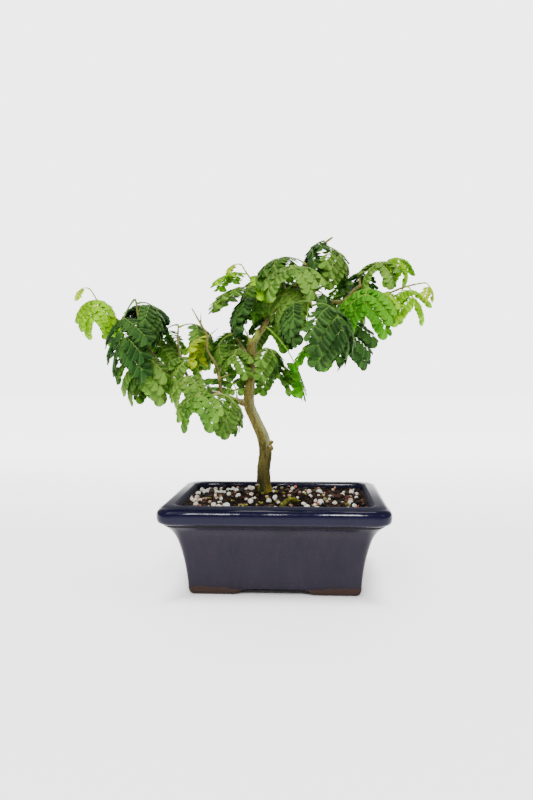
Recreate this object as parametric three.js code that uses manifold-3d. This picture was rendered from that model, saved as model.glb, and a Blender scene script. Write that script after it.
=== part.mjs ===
// A Brazilian rain tree grown as a small bonsai in a glazed rectangular pot.
// Millimetres, +Z up, +X to the viewer's right, +Y away from the viewer.
// The plant is laid out round the middle of the pot's foot line, and the group is
// moved at the end so that the origin is under the middle of the whole object.

import * as THREE from 'three';
import { mergeVertices } from 'three/addons/utils/BufferGeometryUtils.js';
import Module from 'manifold-3d';

const wasm = await Module();
wasm.setup();

// Driving dimensions of the pot
const RIM_HALF_LENGTH = 101.5;
const DEPTH_INSET = 24.5;
const POT_HEIGHT = 82;
const FLOOR_TOP = 13;
const FOOT_HEIGHT = 6;
const FOOT_BAND = 13;
const RIM_CORNER = 15;
const BASE_CORNER = 8;
const FRONT_RECESS = { foot: 41, crown: 24 };
const SIDE_RECESS = { foot: 24, crown: 11 };
const DRAIN_HOLE = { radius: 8, x: 38, sides: 12 };
const SCREEN = { size: 26, thickness: 1 };

// Half length of the pot wall at each height, outside then inside
const OUTER_WALL = [
  [0, 73], [3, 76.3], [22, 78.6], [40, 82.3], [52, 86.2], [60, 91], [65.5, 97],
];
const RIM_WALL = [
  [67.5, 100], [71, RIM_HALF_LENGTH], [77, RIM_HALF_LENGTH], [80.6, 99.8],
  [POT_HEIGHT, 96.5], [POT_HEIGHT, 88],
];
const INNER_WALL = [[80.8, 86.2], [66, 84.6], [40, 75.6], [FLOOR_TOP, 69]];

// Corners of the wall: how much tighter they get as the wall draws in from the rim, the
// least radius, and the facets in each
const CORNER_SHRINK = 0.25;
const LEAST_CORNER = 3;
const CORNER_ARCS = 4;
const POCKET_CORNER = { radius: 4, arcs: 2 };

// How far a cutting body runs past the face that it cuts
const OVERCUT = 1;

// Clearance between flat pieces that rest on each other, and between faceted rounds
const GAP = 0.3;
const ROUND_GAP = 0.4;

// Driving dimensions of the soil: height at the wall and at the trunk, and its mound and lumps
const SOIL_EDGE = 77;
const SOIL_CROWN = 82;
const SOIL_RINGS = 5;
const SOIL_SIDES = 30;
const SOIL_CORNER_ARCS = 3;
const SOIL_MOUND = { length: 70, width: 50, steepness: 1.6 };
const LUMP_HEIGHT = 0.5;
const LUMP_WAVES = [[0.31, 0.17, 0], [-0.13, 0.37, 1]];

// The stones on the soil: how many, their size and stretch, how high they stand, how far
// they keep from the wall and the trunk, and the seed of each draw
const STONES = 30;
const STONE_RADIUS = [2.6, 4.4];
const STONE_STRETCH = [1.25, 1, 0.85];
const STONE_RISE = 0.25;
const STONE_TILT = 0.8;
const STONE_TO_WALL = 8;
const STONE_TO_TRUNK = 15;
const STONE_TRIES = 20;
const STONE_SEEDS = { size: 7, tilt: 8, turn: 9, x: 11, y: 41 };

// Where the trunk leaves the soil
const TRUNK_FOOT = [-13, 8];

// The trunk, its branches and twigs: points on the centre line and the radius at each
const TWIGS = {
  trunk: {
    sides: 10,
    points: [
      [-12, 9, 54], [-13, 8, 72], [-13, 8, 82], [-13, 8, 90], [-13, 7, 103], [-11, 5, 122], [-13, 3, 135],
      [-20, 0, 152], [-26, -1, 167], [-25, 0, 185], [-24, 1, 207], [-23, 2, 224], [-22, 2, 230],
    ],
    radii: [4.5, 7.6, 8.4, 6.8, 5.9, 5.9, 5.6, 4.8, 4.7, 4, 4, 4.2, 4.2],
  },
  left: {
    sides: 7,
    points: [
      [-26, -1, 167], [-38, -5, 171], [-51, -10, 176], [-65, -12, 181], [-81, -10, 188], [-101, -6, 199],
      [-118, -8, 217], [-127, -14, 243], [-130, -18, 266],
    ],
    radii: [3.6, 2.9, 2.5, 2.1, 1.9, 1.7, 1.4, 1.2, 0.9],
  },
  far_left: {
    sides: 5,
    points: [
      [-121, -10, 225], [-140, -4, 241], [-156, 4, 247], [-169, 10, 252], [-176, 14, 267], [-182, 16, 277],
      [-185, 17, 281],
    ],
    radii: [1.3, 1.2, 1.1, 1, 0.8, 0.7, 0.7],
  },
  left_back: {
    sides: 5,
    points: [[-81, -10, 188], [-91, 6, 206], [-98, 20, 228], [-100, 32, 246]],
    radii: [1.8, 1.5, 1.2, 0.9],
  },
  left_low: {
    sides: 5,
    points: [[-51, -10, 176], [-55, -26, 177], [-60, -40, 174]],
    radii: [1.8, 1.3, 0.9],
  },
  thorny: {
    sides: 5,
    points: [
      [-51, -10, 176], [-56, -8, 203], [-65, -6, 220], [-65, -5, 232], [-72, -4, 245], [-80, -3, 259],
    ],
    radii: [1.9, 1.5, 1.3, 1.2, 1, 0.6],
  },
  crown: {
    sides: 7,
    points: [
      [-23, 2, 222], [-11, 2, 242], [-2, 0, 255], [12, -3, 268], [23, -3, 284], [32, 0, 301], [37, 2, 310],
      [45, 4, 318], [54, 6, 325],
    ],
    radii: [2.8, 2.3, 2.2, 2.1, 1.9, 1.7, 1.5, 1.3, 1],
  },
  right: {
    sides: 6,
    points: [
      [12, -3, 268], [28, -8, 266], [46, -10, 263], [63, -8, 263], [71, -5, 271], [79, -3, 277],
      [95, -6, 270], [105, -8, 270], [116, -8, 274], [126, -7, 277], [137, -6, 279],
    ],
    radii: [2, 1.9, 1.7, 1.6, 1.5, 1.4, 1.1, 1, 1, 0.9, 0.7],
  },
  right_up: {
    sides: 5,
    points: [[79, -3, 277], [80, 2, 289], [87, 4, 294], [97, 6, 295], [104, 7, 298], [110, 8, 302]],
    radii: [1.3, 1, 1, 0.9, 0.8, 0.7],
  },
  front: {
    sides: 5,
    points: [[23, -3, 284], [28, -20, 278], [31, -38, 267], [34, -54, 254]],
    radii: [1.7, 1.4, 1.2, 0.9],
  },
  back: {
    sides: 5,
    points: [[12, -3, 268], [7, 16, 281], [2, 34, 291], [-6, 50, 296]],
    radii: [1.9, 1.5, 1.2, 0.9],
  },
  back_right: {
    sides: 5,
    points: [[28, -8, 266], [40, 12, 277], [52, 30, 286], [63, 46, 290]],
    radii: [1.7, 1.4, 1.1, 0.9],
  },
  up_left: {
    sides: 5,
    points: [[-2, 0, 255], [-13, 6, 272], [-22, 8, 284], [-29, 9, 294], [-33, 10, 301]],
    radii: [1.6, 1.2, 1, 0.8, 0.7],
  },
  inner_front: {
    sides: 5,
    points: [[-25, 0, 205], [-18, -9, 214], [-11, -16, 219]],
    radii: [1.8, 1.3, 0.9],
  },
  inner_back: {
    sides: 5,
    points: [[-24, 1, 207], [-36, 16, 226], [-46, 30, 239]],
    radii: [1.8, 1.4, 0.9],
  },
};

// Bare spurs, thorns and pruned stubs: root, tip, radius at the root and at the tip
const SPUR_SIDES = 4;
const SPURS = [
  [[-12, 4, 123], [-4.4, 1, 125.6], 2.8, 2],
  [[-12, 4, 129], [-3.4, 0, 131.4], 2.3, 1.2],
  [[-23, 2, 224], [-31, -2, 241], 1.2, 0.5],
  [[-22, 2, 224], [-18, 1, 238], 1.6, 1],
  [[-71, -4, 244], [-71, -5, 254], 0.9, 0.4],
  [[-65, -5, 231], [-54, -9, 239], 0.9, 0.4],
  [[-54, -9, 190], [-51, -12, 205], 0.9, 0.4],
  [[-54, -9, 192], [-42, -11, 196], 0.9, 0.5],
];

// Leaf sizes: stalk length, pairs of pinnae and their angle to the stalk at its tip, and
// the length and half width of a pinna
const LEAF_SIZES = {
  great: { stalk: 46, pairs: 2, spread: 52, pinna: 38, half: 9.6 },
  large: { stalk: 36, pairs: 2, spread: 52, pinna: 35, half: 8.8 },
  medium: { stalk: 30, pairs: 2, spread: 52, pinna: 29, half: 7.4 },
  hanging: { stalk: 44, pairs: 1, spread: 40, pinna: 38, half: 9.6 },
  lanky: { stalk: 42, pairs: 1, spread: 48, pinna: 24, half: 7 },
  small: { stalk: 15, pairs: 1, spread: 50, pinna: 26, half: 7 },
  young: { stalk: 8, pairs: 1, spread: 46, pinna: 14, half: 4.2 },
};

// One row a leaf: place along its twig, heading and lift in degrees, droop, size and tone.
// A heading of 0 points to the viewer's right, 90 away from the viewer.
const LEAVES = {
  far_left: [
    [1, -155, 25, 60, 'young', 'yellow'],
    [0.68, -78, 25, 110, 'medium', 'lime'],
    [0.5, 20, 20, 85, 'small', 'lime'],
    [0.12, 120, -10, 80, 'small', 'green'],
  ],
  left: [
    [1, -150, -56, 46, 'great', 'dark'],
    [0.98, -50, 5, 100, 'medium', 'dark'],
    [0.93, 75, 30, 90, 'medium', 'dark'],
    [0.8, -105, -15, 75, 'large', 'green'],
    [0.75, 125, 5, 80, 'medium', 'green'],
    [0.44, -110, 65, 120, 'medium', 'green'],
    [0.125, 120, 80, 40, 'small', 'green'],
  ],
  left_back: [
    [1, 150, 5, 90, 'large', 'green'],
    [0.95, 0, 30, 95, 'large', 'green'],
    [0.4, -60, 0, 80, 'small', 'green'],
  ],
  left_low: [
    [1, -100, 45, 100, 'medium', 'green'],
    [0.75, -20, 35, 100, 'medium', 'green'],
  ],
  thorny: [
    [0.6, 200, 0, 70, 'small', 'lime'],
  ],
  inner_front: [
    [1, -35, 20, 100, 'small', 'green'],
    [0.5, 55, 0, 60, 'medium', 'green'],
  ],
  inner_back: [
    [1, 120, 10, 85, 'large', 'green'],
    [0.9, -165, 15, 85, 'medium', 'green'],
    [0.35, 200, -20, 60, 'small', 'green'],
  ],
  up_left: [
    [1, 190, 20, 50, 'young', 'yellow'],
    [0.72, 180, 20, 40, 'small', 'lime'],
    [0.6, -15, 20, 70, 'small', 'lime'],
    [0.4, -170, 10, 40, 'medium', 'green'],
    [0.2, 185, 20, 80, 'medium', 'dark'],
  ],
  crown: [
    [0.9, -160, -20, 50, 'small', 'dark'],
    [0.84, -30, -5, 85, 'medium', 'green'],
    [0.72, 60, 10, 90, 'small', 'green'],
    [0.6, 170, 12, 75, 'large', 'green'],
    [0.5, -100, 20, 85, 'large', 'green'],
    [0.25, 110, 15, 85, 'medium', 'green'],
    [0.125, 5, -50, 26, 'hanging', 'bright'],
    [0.46, -140, 0, 85, 'medium', 'green'],
  ],
  front: [
    [1, -45, 15, 100, 'great', 'dark'],
    [0.9, -170, 15, 95, 'medium', 'dark'],
    [0.8, -100, -75, 20, 'lanky', 'bright'],
    [0.55, 0, 0, 90, 'medium', 'dark'],
  ],
  back: [
    [1, 80, 15, 90, 'large', 'green'],
    [0.85, 170, 15, 85, 'large', 'green'],
    [0.6, 40, 15, 90, 'medium', 'dark'],
  ],
  back_right: [
    [1, 60, 15, 90, 'large', 'green'],
    [0.85, -10, 15, 90, 'medium', 'green'],
  ],
  right: [
    [1, -45, -5, 70, 'young', 'yellow'],
    [0.86, -70, -20, 65, 'small', 'lime'],
    [0.7, -110, -5, 80, 'small', 'lime'],
    [0.56, -85, 5, 85, 'large', 'bright'],
    [0.3, -95, -45, 50, 'large', 'dark'],
  ],
  right_up: [
    [1, -60, 35, 110, 'small', 'lime'],
    [0.7, -80, 25, 90, 'small', 'green'],
    [0.35, 170, 10, 80, 'small', 'dark'],
  ],
};

// Leaf build: thicknesses, widths and angles shared by every leaf
const STALK_WIDTH = 1.4;
const STALK_THICKNESS = 1.2;
const RIB_WIDTH = 1.1;
const RIB_THICKNESS = 0.9;
const BLADE_THICKNESS = 0.66;
const FIRST_PAIR = 0.48;
const STALK_BEND = 0.5;
const INNER_SPREAD = 70;
const PINNA_DROOP = 0.72;
const BLADE_FOLD = 24;
const BLADE_SWEEP = 2.2;
const RIB_STATIONS = [0, 0.34, 0.66, 0.9];

// A leaflet's near and far corners and the tip's end, as shares of its span along the rib,
// and how far the tip and the first leaflet reach, as shares of the half width
const LEAFLET = { near: 0.14, far: 0.98, end: 1.15 };
const LEAFLET_REACH = { tip: 0.5, first: 0.8 };

// Clearance of a stalk from its twig's bark, and what is added where it leaves at a slant
const BASE_CLEARANCE = 0.35;
const SLANT_CLEARANCE = 0.6;

// A leaf that would touch another piece is turned and lifted by up to this much, in degrees.
// A degree of lift counts for more than a degree of turn when the slightest bend is chosen.
const MOST_TURN = 60;
const MOST_LIFT = 30;
const BEND_STEP = 10;
const BEND_MARGIN = 0.25;
const LIFT_WEIGHT = 2;

// Finish of each material
const FINISHES = {
  glaze: { color: 0x1d1c33, roughness: 0.12, metalness: 0 },
  soil: { color: 0x2b201a, roughness: 0.95, metalness: 0 },
  screen: { color: 0x202020, roughness: 0.6, metalness: 0 },
  bark: { color: 0x6f6440, roughness: 0.8, metalness: 0 },
  dark: { color: 0x1d4420, roughness: 0.5, metalness: 0 },
  green: { color: 0x3c7026, roughness: 0.5, metalness: 0 },
  bright: { color: 0x4f9a22, roughness: 0.5, metalness: 0 },
  lime: { color: 0x86bf2a, roughness: 0.5, metalness: 0 },
  yellow: { color: 0xb5cc3a, roughness: 0.5, metalness: 0 },
};

const UP = new THREE.Vector3(0, 0, 1);
const MERGE_DISTANCE = 1e-4;
const radians = THREE.MathUtils.degToRad;

// A repeatable draw between 0 and 1 for a seed and a count
function draw(seed, k) {
  let h = (seed * 374761393 + k * 668265263) % 4294967296;
  h = Math.imul(h ^ (h >>> 13), 1274126177);
  return ((h ^ (h >>> 16)) >>> 0) / 4294967296;
}

function vector(list) {
  return new THREE.Vector3(list[0], list[1], list[2]);
}

// Geometry to solid and back

function toSolid(geometry) {
  const bare = geometry.clone();
  bare.deleteAttribute('normal');
  bare.deleteAttribute('uv');
  const merged = mergeVertices(bare, MERGE_DISTANCE);
  return new wasm.Manifold(new wasm.Mesh({
    numProp: 3,
    vertProperties: new Float32Array(merged.attributes.position.array),
    triVerts: new Uint32Array(merged.index.array),
  }));
}

function toGeometry(solid) {
  const mesh = solid.getMesh();
  return indexed(mesh.vertProperties, mesh.triVerts);
}

function indexed(positions, triangles) {
  const geometry = new THREE.BufferGeometry();
  geometry.setAttribute('position', new THREE.Float32BufferAttribute(positions, 3));
  geometry.setIndex([...triangles]);
  geometry.computeVertexNormals();
  return geometry;
}

// Closed skin over rings that all have the same number of points, first ring to last
function loft(rings) {
  const count = rings[0].length;
  const positions = rings.flat().flatMap((p) => [p.x, p.y, p.z]);
  const triangles = [];
  for (let r = 0; r + 1 < rings.length; r += 1) {
    for (let i = 0; i < count; i += 1) {
      const j = (i + 1) % count;
      const a = r * count;
      const b = a + count;
      triangles.push(a + i, a + j, b + j, a + i, b + j, b + i);
    }
  }
  const last = (rings.length - 1) * count;
  for (let i = 1; i + 1 < count; i += 1) {
    triangles.push(0, i + 1, i, last, last + i, last + i + 1);
  }
  return indexed(positions, triangles);
}

// Rounded rectangle at height z, as straight sides with corner arcs
function rectangleRing(halfLength, halfWidth, corner, z, arcs) {
  const ring = [];
  for (let quarter = 0; quarter < 4; quarter += 1) {
    const sx = quarter === 0 || quarter === 3 ? 1 : -1;
    const sy = quarter < 2 ? 1 : -1;
    for (let i = 0; i <= arcs; i += 1) {
      const angle = (quarter + i / arcs) * Math.PI / 2;
      const x = sx * (halfLength - corner) + corner * Math.cos(angle);
      const y = sy * (halfWidth - corner) + corner * Math.sin(angle);
      ring.push(new THREE.Vector3(x, y, z));
    }
  }
  return ring;
}

// Corner radius of the pot wall where it stands half a length out at height z
function wallCorner([z, half]) {
  const corner = THREE.MathUtils.mapLinear(z, 0, POT_HEIGHT, BASE_CORNER, RIM_CORNER);
  return Math.max(LEAST_CORNER, corner + (half - RIM_HALF_LENGTH) * CORNER_SHRINK);
}

// Section of the pot at one station of its wall, drawn in by an inset
function wallRing([z, half], arcs, inset = 0) {
  const halfLength = half - inset;
  return rectangleRing(halfLength, halfLength - DEPTH_INSET, wallCorner([z, half]), z, arcs);
}

// A bar of trapezoid section under the pot, open at the foot line and narrower above
function recessBar({ foot, crown }, length, across) {
  const shape = new THREE.Shape();
  const flare = OVERCUT * (foot - crown) / FOOT_HEIGHT;
  shape.moveTo(-foot - flare, -OVERCUT);
  shape.lineTo(foot + flare, -OVERCUT);
  shape.lineTo(crown, FOOT_HEIGHT);
  shape.lineTo(-crown, FOOT_HEIGHT);
  shape.closePath();
  const bar = new THREE.ExtrudeGeometry(shape, { depth: length, bevelEnabled: false });
  bar.translate(0, 0, -length / 2);
  bar.rotateX(Math.PI / 2);
  if (across) bar.rotateZ(Math.PI / 2);
  return toSolid(bar);
}

function buildPot() {
  const wall = [...OUTER_WALL, ...RIM_WALL, ...INNER_WALL];
  let pot = toSolid(loft(wall.map((station) => wallRing(station, CORNER_ARCS))));
  const pocketHalf = OUTER_WALL[1][1] - FOOT_BAND;
  const { radius: pocketRadius, arcs: pocketArcs } = POCKET_CORNER;
  const pocket = loft([-OVERCUT, FOOT_HEIGHT].map((z) => (
    rectangleRing(pocketHalf, pocketHalf - DEPTH_INSET, pocketRadius, z, pocketArcs)
  )));
  pot = pot.subtract(toSolid(pocket));
  pot = pot.subtract(recessBar(FRONT_RECESS, 2 * RIM_HALF_LENGTH, false));
  pot = pot.subtract(recessBar(SIDE_RECESS, 3 * RIM_HALF_LENGTH, true));
  const depth = FLOOR_TOP + 2 * OVERCUT;
  for (const side of [-1, 1]) {
    const hole = new THREE.CylinderGeometry(DRAIN_HOLE.radius, DRAIN_HOLE.radius, depth, DRAIN_HOLE.sides);
    hole.rotateX(Math.PI / 2);
    hole.translate(side * DRAIN_HOLE.x, 0, FLOOR_TOP / 2);
    pot = pot.subtract(toSolid(hole));
  }
  return toGeometry(pot);
}

// Plate over one drain hole on the pot floor, or the recess for it in the soil
// when it is grown

function screenBox(side, growth) {
  const size = SCREEN.size + 2 * growth;
  const height = SCREEN.thickness + growth;
  const box = new THREE.BoxGeometry(size, size, height);
  box.translate(side * DRAIN_HOLE.x, 0, FLOOR_TOP + GAP + height / 2);
  return box;
}

// Tapered round bar along a smooth curve through the points
function bar({ points, radii, sides }, growth = 0) {
  const curve = new THREE.CatmullRomCurve3(points.map(vector), false, 'centripetal');
  const spans = points.length - 1;
  const rings = [];
  let side = null;
  for (let i = 0; i <= spans; i += 1) {
    const t = i / spans;
    const centre = curve.getPoint(t);
    const along = curve.getTangent(t);
    side = side ?? new THREE.Vector3(1, 0.3, 0.1);
    side.addScaledVector(along, -side.dot(along)).normalize();
    const other = along.clone().cross(side);
    const radius = radii[i] + growth;
    rings.push(Array.from({ length: sides }, (_, k) => {
      const angle = 2 * Math.PI * k / sides;
      return centre.clone()
        .addScaledVector(side, radius * Math.cos(angle))
        .addScaledVector(other, radius * Math.sin(angle));
    }));
  }
  return loft(rings);
}

function buildWood() {
  let wood = null;
  for (const twig of Object.values(TWIGS)) {
    const limb = toSolid(bar(twig));
    wood = wood ? wood.add(limb) : limb;
  }
  for (const [root, tip, thick, thin] of SPURS) {
    wood = wood.add(toSolid(bar({ points: [root, tip], radii: [thick, thin], sides: SPUR_SIDES })));
  }
  return toGeometry(wood);
}

// Height of the soil surface: mounded to the trunk, with low lumps
function soilHeight(x, y, edge) {
  const reach = Math.hypot((x - TRUNK_FOOT[0]) / SOIL_MOUND.length, (y - TRUNK_FOOT[1]) / SOIL_MOUND.width);
  const mound = (SOIL_CROWN - SOIL_EDGE) * Math.exp(-reach * reach * SOIL_MOUND.steepness);
  const lumps = LUMP_WAVES.reduce((sum, [a, b, c]) => sum + LUMP_HEIGHT * Math.sin(x * a + y * b + c), 0);
  return SOIL_EDGE + mound + lumps * (1 - edge);
}

// Section of the soil at one station of the pot's inner wall, as evenly spaced points
function soilRing(station) {
  const ring = wallRing(station, SOIL_CORNER_ARCS, ROUND_GAP);
  const loop = new THREE.CurvePath();
  ring.forEach((p, i) => loop.add(new THREE.LineCurve3(p, ring[(i + 1) % ring.length])));
  return Array.from({ length: SOIL_SIDES }, (_, i) => loop.getPointAt(i / SOIL_SIDES));
}

function buildSoil() {
  const [top, ...lower] = INNER_WALL;
  const below = lower[0];
  const brim = [SOIL_EDGE, THREE.MathUtils.mapLinear(SOIL_EDGE, below[0], top[0], below[1], top[1])];
  const rings = lower.reverse().map(([z, half]) => soilRing([z === FLOOR_TOP ? z + GAP : z, half]));
  for (let r = 0; r < SOIL_RINGS; r += 1) {
    const scale = 1 - r / SOIL_RINGS;
    rings.push(soilRing(brim).map((p) => {
      const x = p.x * scale;
      const y = p.y * scale;
      return new THREE.Vector3(x, y, soilHeight(x, y, r === 0 ? 1 : 0));
    }));
  }
  let soil = toSolid(loft(rings));
  for (let k = 0; k < STONES; k += 1) {
    soil = soil.add(toSolid(stone(k, brim[1] - STONE_TO_WALL)));
  }
  for (const side of [-1, 1]) {
    soil = soil.subtract(toSolid(screenBox(side, GAP)));
  }
  return toGeometry(soil.subtract(toSolid(bar(TWIGS.trunk, ROUND_GAP))));
}

// One stone within half a length of the pot's middle, bedded in the soil, clear of the trunk
function stone(k, halfLength) {
  const [small, large] = STONE_RADIUS;
  const radius = THREE.MathUtils.lerp(small, large, draw(STONE_SEEDS.size, k) ** 2);
  let x = 0;
  let y = 0;
  for (let attempt = 0; attempt < STONE_TRIES; attempt += 1) {
    x = halfLength * (2 * draw(STONE_SEEDS.x + attempt, k) - 1);
    y = (halfLength - DEPTH_INSET) * (2 * draw(STONE_SEEDS.y + attempt, k) - 1);
    if (Math.hypot(x - TRUNK_FOOT[0], y - TRUNK_FOOT[1]) > STONE_TO_TRUNK) break;
  }
  const lump = new THREE.OctahedronGeometry(radius, 0);
  lump.scale(...STONE_STRETCH);
  lump.rotateX(draw(STONE_SEEDS.tilt, k) * STONE_TILT);
  lump.rotateZ(draw(STONE_SEEDS.turn, k) * Math.PI);
  lump.translate(x, y, soilHeight(x, y, 0) + STONE_RISE * radius);
  return lump;
}

// A leaf: a stalk that arches over, with pairs of pinnae that hang from it. Each pinna is
// one thin arched blade, cut to its rib into pairs of leaflets.

// Place, direction and upper side of the stalk at a share s of its length
function stalkFrame(leaf, s) {
  const lift = radians(leaf.lift);
  const droop = radians(leaf.droop);
  const slope = lift - droop * s;
  const heading = new THREE.Vector3(Math.cos(radians(leaf.heading)), Math.sin(radians(leaf.heading)), 0);
  const forward = leaf.stalk * (Math.sin(lift) - Math.sin(slope)) / droop;
  const rise = leaf.stalk * (Math.cos(slope) - Math.cos(lift)) / droop;
  return {
    place: leaf.base.clone().addScaledVector(heading, forward).addScaledVector(UP, rise),
    along: heading.clone().multiplyScalar(Math.cos(slope)).addScaledVector(UP, Math.sin(slope)),
    side: UP.clone().cross(heading),
    upper: heading.clone().multiplyScalar(-Math.sin(slope)).addScaledVector(UP, Math.cos(slope)),
  };
}

// The arc of one pinna's rib, as a function of the share q of its length
function pinnaArc(leaf, s, hand, spread) {
  const stalk = stalkFrame(leaf, s);
  const start = stalk.along.clone().multiplyScalar(Math.cos(radians(spread)))
    .addScaledVector(stalk.side, hand * Math.sin(radians(spread)));
  const down = stalk.upper.clone().negate().sub(UP);
  down.addScaledVector(start, -down.dot(start)).normalize();
  const across = down.clone().cross(start).multiplyScalar(hand);
  const droop = radians(leaf.droop * PINNA_DROOP);
  const root = stalk.place.clone().addScaledVector(stalk.side, hand * STALK_WIDTH / 2);
  return (q) => {
    const turn = droop * q;
    return {
      place: root.clone()
        .addScaledVector(start, leaf.pinna * Math.sin(turn) / droop)
        .addScaledVector(down, leaf.pinna * (1 - Math.cos(turn)) / droop),
      along: start.clone().multiplyScalar(Math.cos(turn)).addScaledVector(down, Math.sin(turn)),
      across,
      upper: start.clone().multiplyScalar(Math.sin(turn)).addScaledVector(down, -Math.cos(turn)),
    };
  };
}

// The upper skin of a leaf as points with their normal and thickness, and its triangles
function leafSkin(leaf) {
  const points = [];
  const triangles = [];
  const addPoint = (place, normal, thickness) => points.push({ place, normal, thickness }) - 1;
  const addFan = (corners, reversed) => {
    for (let i = 1; i + 1 < corners.length; i += 1) {
      const [b, c] = reversed ? [i + 1, i] : [i, i + 1];
      triangles.push([corners[0], corners[b], corners[c]]);
    }
  };
  const step = STALK_WIDTH / leaf.stalk;
  const pairEnds = leaf.pairs === 2 ? [FIRST_PAIR, 1] : [1];
  const stations = [0, pairEnds[0] * STALK_BEND, ...pairEnds.flatMap((end) => [end - step, end])];
  const edges = stations.map((s) => {
    const frame = stalkFrame(leaf, s);
    return [1, -1].map((hand) => addPoint(
      frame.place.clone().addScaledVector(frame.side, hand * STALK_WIDTH / 2),
      frame.upper,
      STALK_THICKNESS,
    ));
  });
  for (let i = 0; i + 1 < edges.length; i += 1) {
    addFan([edges[i][1], edges[i + 1][1], edges[i + 1][0], edges[i][0]], false);
  }
  pairEnds.forEach((end, pair) => {
    const spread = pair === pairEnds.length - 1 ? leaf.spread : INNER_SPREAD;
    [1, -1].forEach((hand, column) => {
      const arc = pinnaArc(leaf, end - step / 2, hand, spread);
      const behind = edges[2 + 2 * pair][column];
      const ahead = edges[3 + 2 * pair][column];
      addPinna({ leaf, arc, behind, ahead, hand, addPoint, addFan });
    });
  });
  return { points, triangles };
}

// Rib strip and leaflets of one pinna, joined to the stalk at the points behind and ahead
function addPinna({ leaf, arc, behind, ahead, hand, addPoint, addFan }) {
  const ribs = RIB_STATIONS.map((q, i) => {
    if (i === 0) return { ahead, behind };
    const { place, across, upper } = arc(q);
    const edge = (way) => addPoint(
      place.clone().addScaledVector(across, way * RIB_WIDTH / 2),
      upper,
      RIB_THICKNESS,
    );
    return { ahead: edge(1), behind: edge(-1) };
  });
  for (let i = 0; i + 1 < ribs.length; i += 1) {
    addFan([ribs[i].behind, ribs[i].ahead, ribs[i + 1].ahead, ribs[i + 1].behind], hand < 0);
    const from = RIB_STATIONS[i];
    const last = i + 2 === ribs.length;
    const length = RIB_STATIONS[i + 1] - from;
    for (const way of [1, -1]) {
      const corners = [];
      // The first leaflet ahead has no near corner: it narrows to the end of the stalk
      if (i > 0 || way < 0) {
        const reach = i > 0 ? leaf.half : leaf.half * LEAFLET_REACH.first;
        corners.push(bladePoint(leaf, arc, from + LEAFLET.near * length, way, reach));
      }
      corners.push(last
        ? bladePoint(leaf, arc, from + LEAFLET.end * length, way, leaf.half * LEAFLET_REACH.tip)
        : bladePoint(leaf, arc, from + LEAFLET.far * length, way, leaf.half));
      const rim = corners.map((p) => addPoint(p.place, p.normal, BLADE_THICKNESS));
      const key = way > 0 ? 'ahead' : 'behind';
      addFan([ribs[i][key], ...rim, ribs[i + 1][key]], hand * way < 0);
    }
  }
}

// A point on the rim of the blade, out from the rib by a reach, folded down and swept on
function bladePoint(leaf, arc, q, way, reach) {
  const { place, along, across, upper } = arc(q);
  const fold = radians(BLADE_FOLD);
  const sweep = BLADE_SWEEP * leaf.half / LEAF_SIZES.large.half;
  return {
    place: place.clone()
      .addScaledVector(across, way * (RIB_WIDTH / 2 + reach * Math.cos(fold)))
      .addScaledVector(upper, -reach * Math.sin(fold))
      .addScaledVector(along, sweep),
    normal: upper.clone().multiplyScalar(Math.cos(fold)).addScaledVector(across, way * Math.sin(fold)),
  };
}

// Closed slab round a skin, half its thickness to each side, grown by a margin for tests
function slab({ points, triangles }, margin = 0) {
  const count = points.length;
  const positions = [];
  for (const way of [1, -1]) {
    for (const { place, normal, thickness } of points) {
      const p = place.clone().addScaledVector(normal, way * (thickness / 2 + margin));
      positions.push(p.x, p.y, p.z);
    }
  }
  const faces = [];
  const open = new Map();
  for (const [a, b, c] of triangles) {
    faces.push(a, b, c, count + a, count + c, count + b);
    for (const [from, to] of [[a, b], [b, c], [c, a]]) {
      if (!open.delete(`${to},${from}`)) open.set(`${from},${to}`, [from, to]);
    }
  }
  for (const [from, to] of open.values()) {
    faces.push(to, from, count + from, to, count + from, count + to);
  }
  return indexed(positions, faces);
}

// Where a leaf leaves its twig: off the bark by the clearance, on the side it heads for,
// or off the end of the twig where it carries on from there
function leafBase(twig, t, heading, lift) {
  const curve = new THREE.CatmullRomCurve3(twig.points.map(vector), false, 'centripetal');
  const centre = curve.getPoint(t);
  const along = curve.getTangent(t);
  const spans = twig.points.length - 1;
  const span = Math.min(Math.floor(t * spans), spans - 1);
  const radius = THREE.MathUtils.lerp(twig.radii[span], twig.radii[span + 1], t * spans - span);
  const away = new THREE.Vector3(Math.cos(radians(heading)), Math.sin(radians(heading)), 0)
    .multiplyScalar(Math.cos(radians(lift)))
    .addScaledVector(UP, Math.sin(radians(lift)));
  const forward = away.dot(along);
  if (t === 1 && forward > 0) {
    const overEnd = radius * away.clone().cross(along).length();
    return centre.addScaledVector(away, overEnd + BASE_CLEARANCE);
  }
  const off = away.clone().addScaledVector(along, -forward).normalize();
  return centre.addScaledVector(off, radius + BASE_CLEARANCE + SLANT_CLEARANCE * Math.abs(forward));
}

function boxOf(geometry) {
  geometry.computeBoundingBox();
  return geometry.boundingBox;
}

// Turns and lifts to try, the slightest first
function bends() {
  const list = [];
  for (let turn = -MOST_TURN; turn <= MOST_TURN; turn += BEND_STEP) {
    for (let raise = -MOST_LIFT; raise <= MOST_LIFT; raise += BEND_STEP) {
      list.push([turn, raise]);
    }
  }
  const amount = ([turn, raise]) => turn * turn + LIFT_WEIGHT * raise * raise;
  return list.sort((a, b) => amount(a) - amount(b));
}

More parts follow.
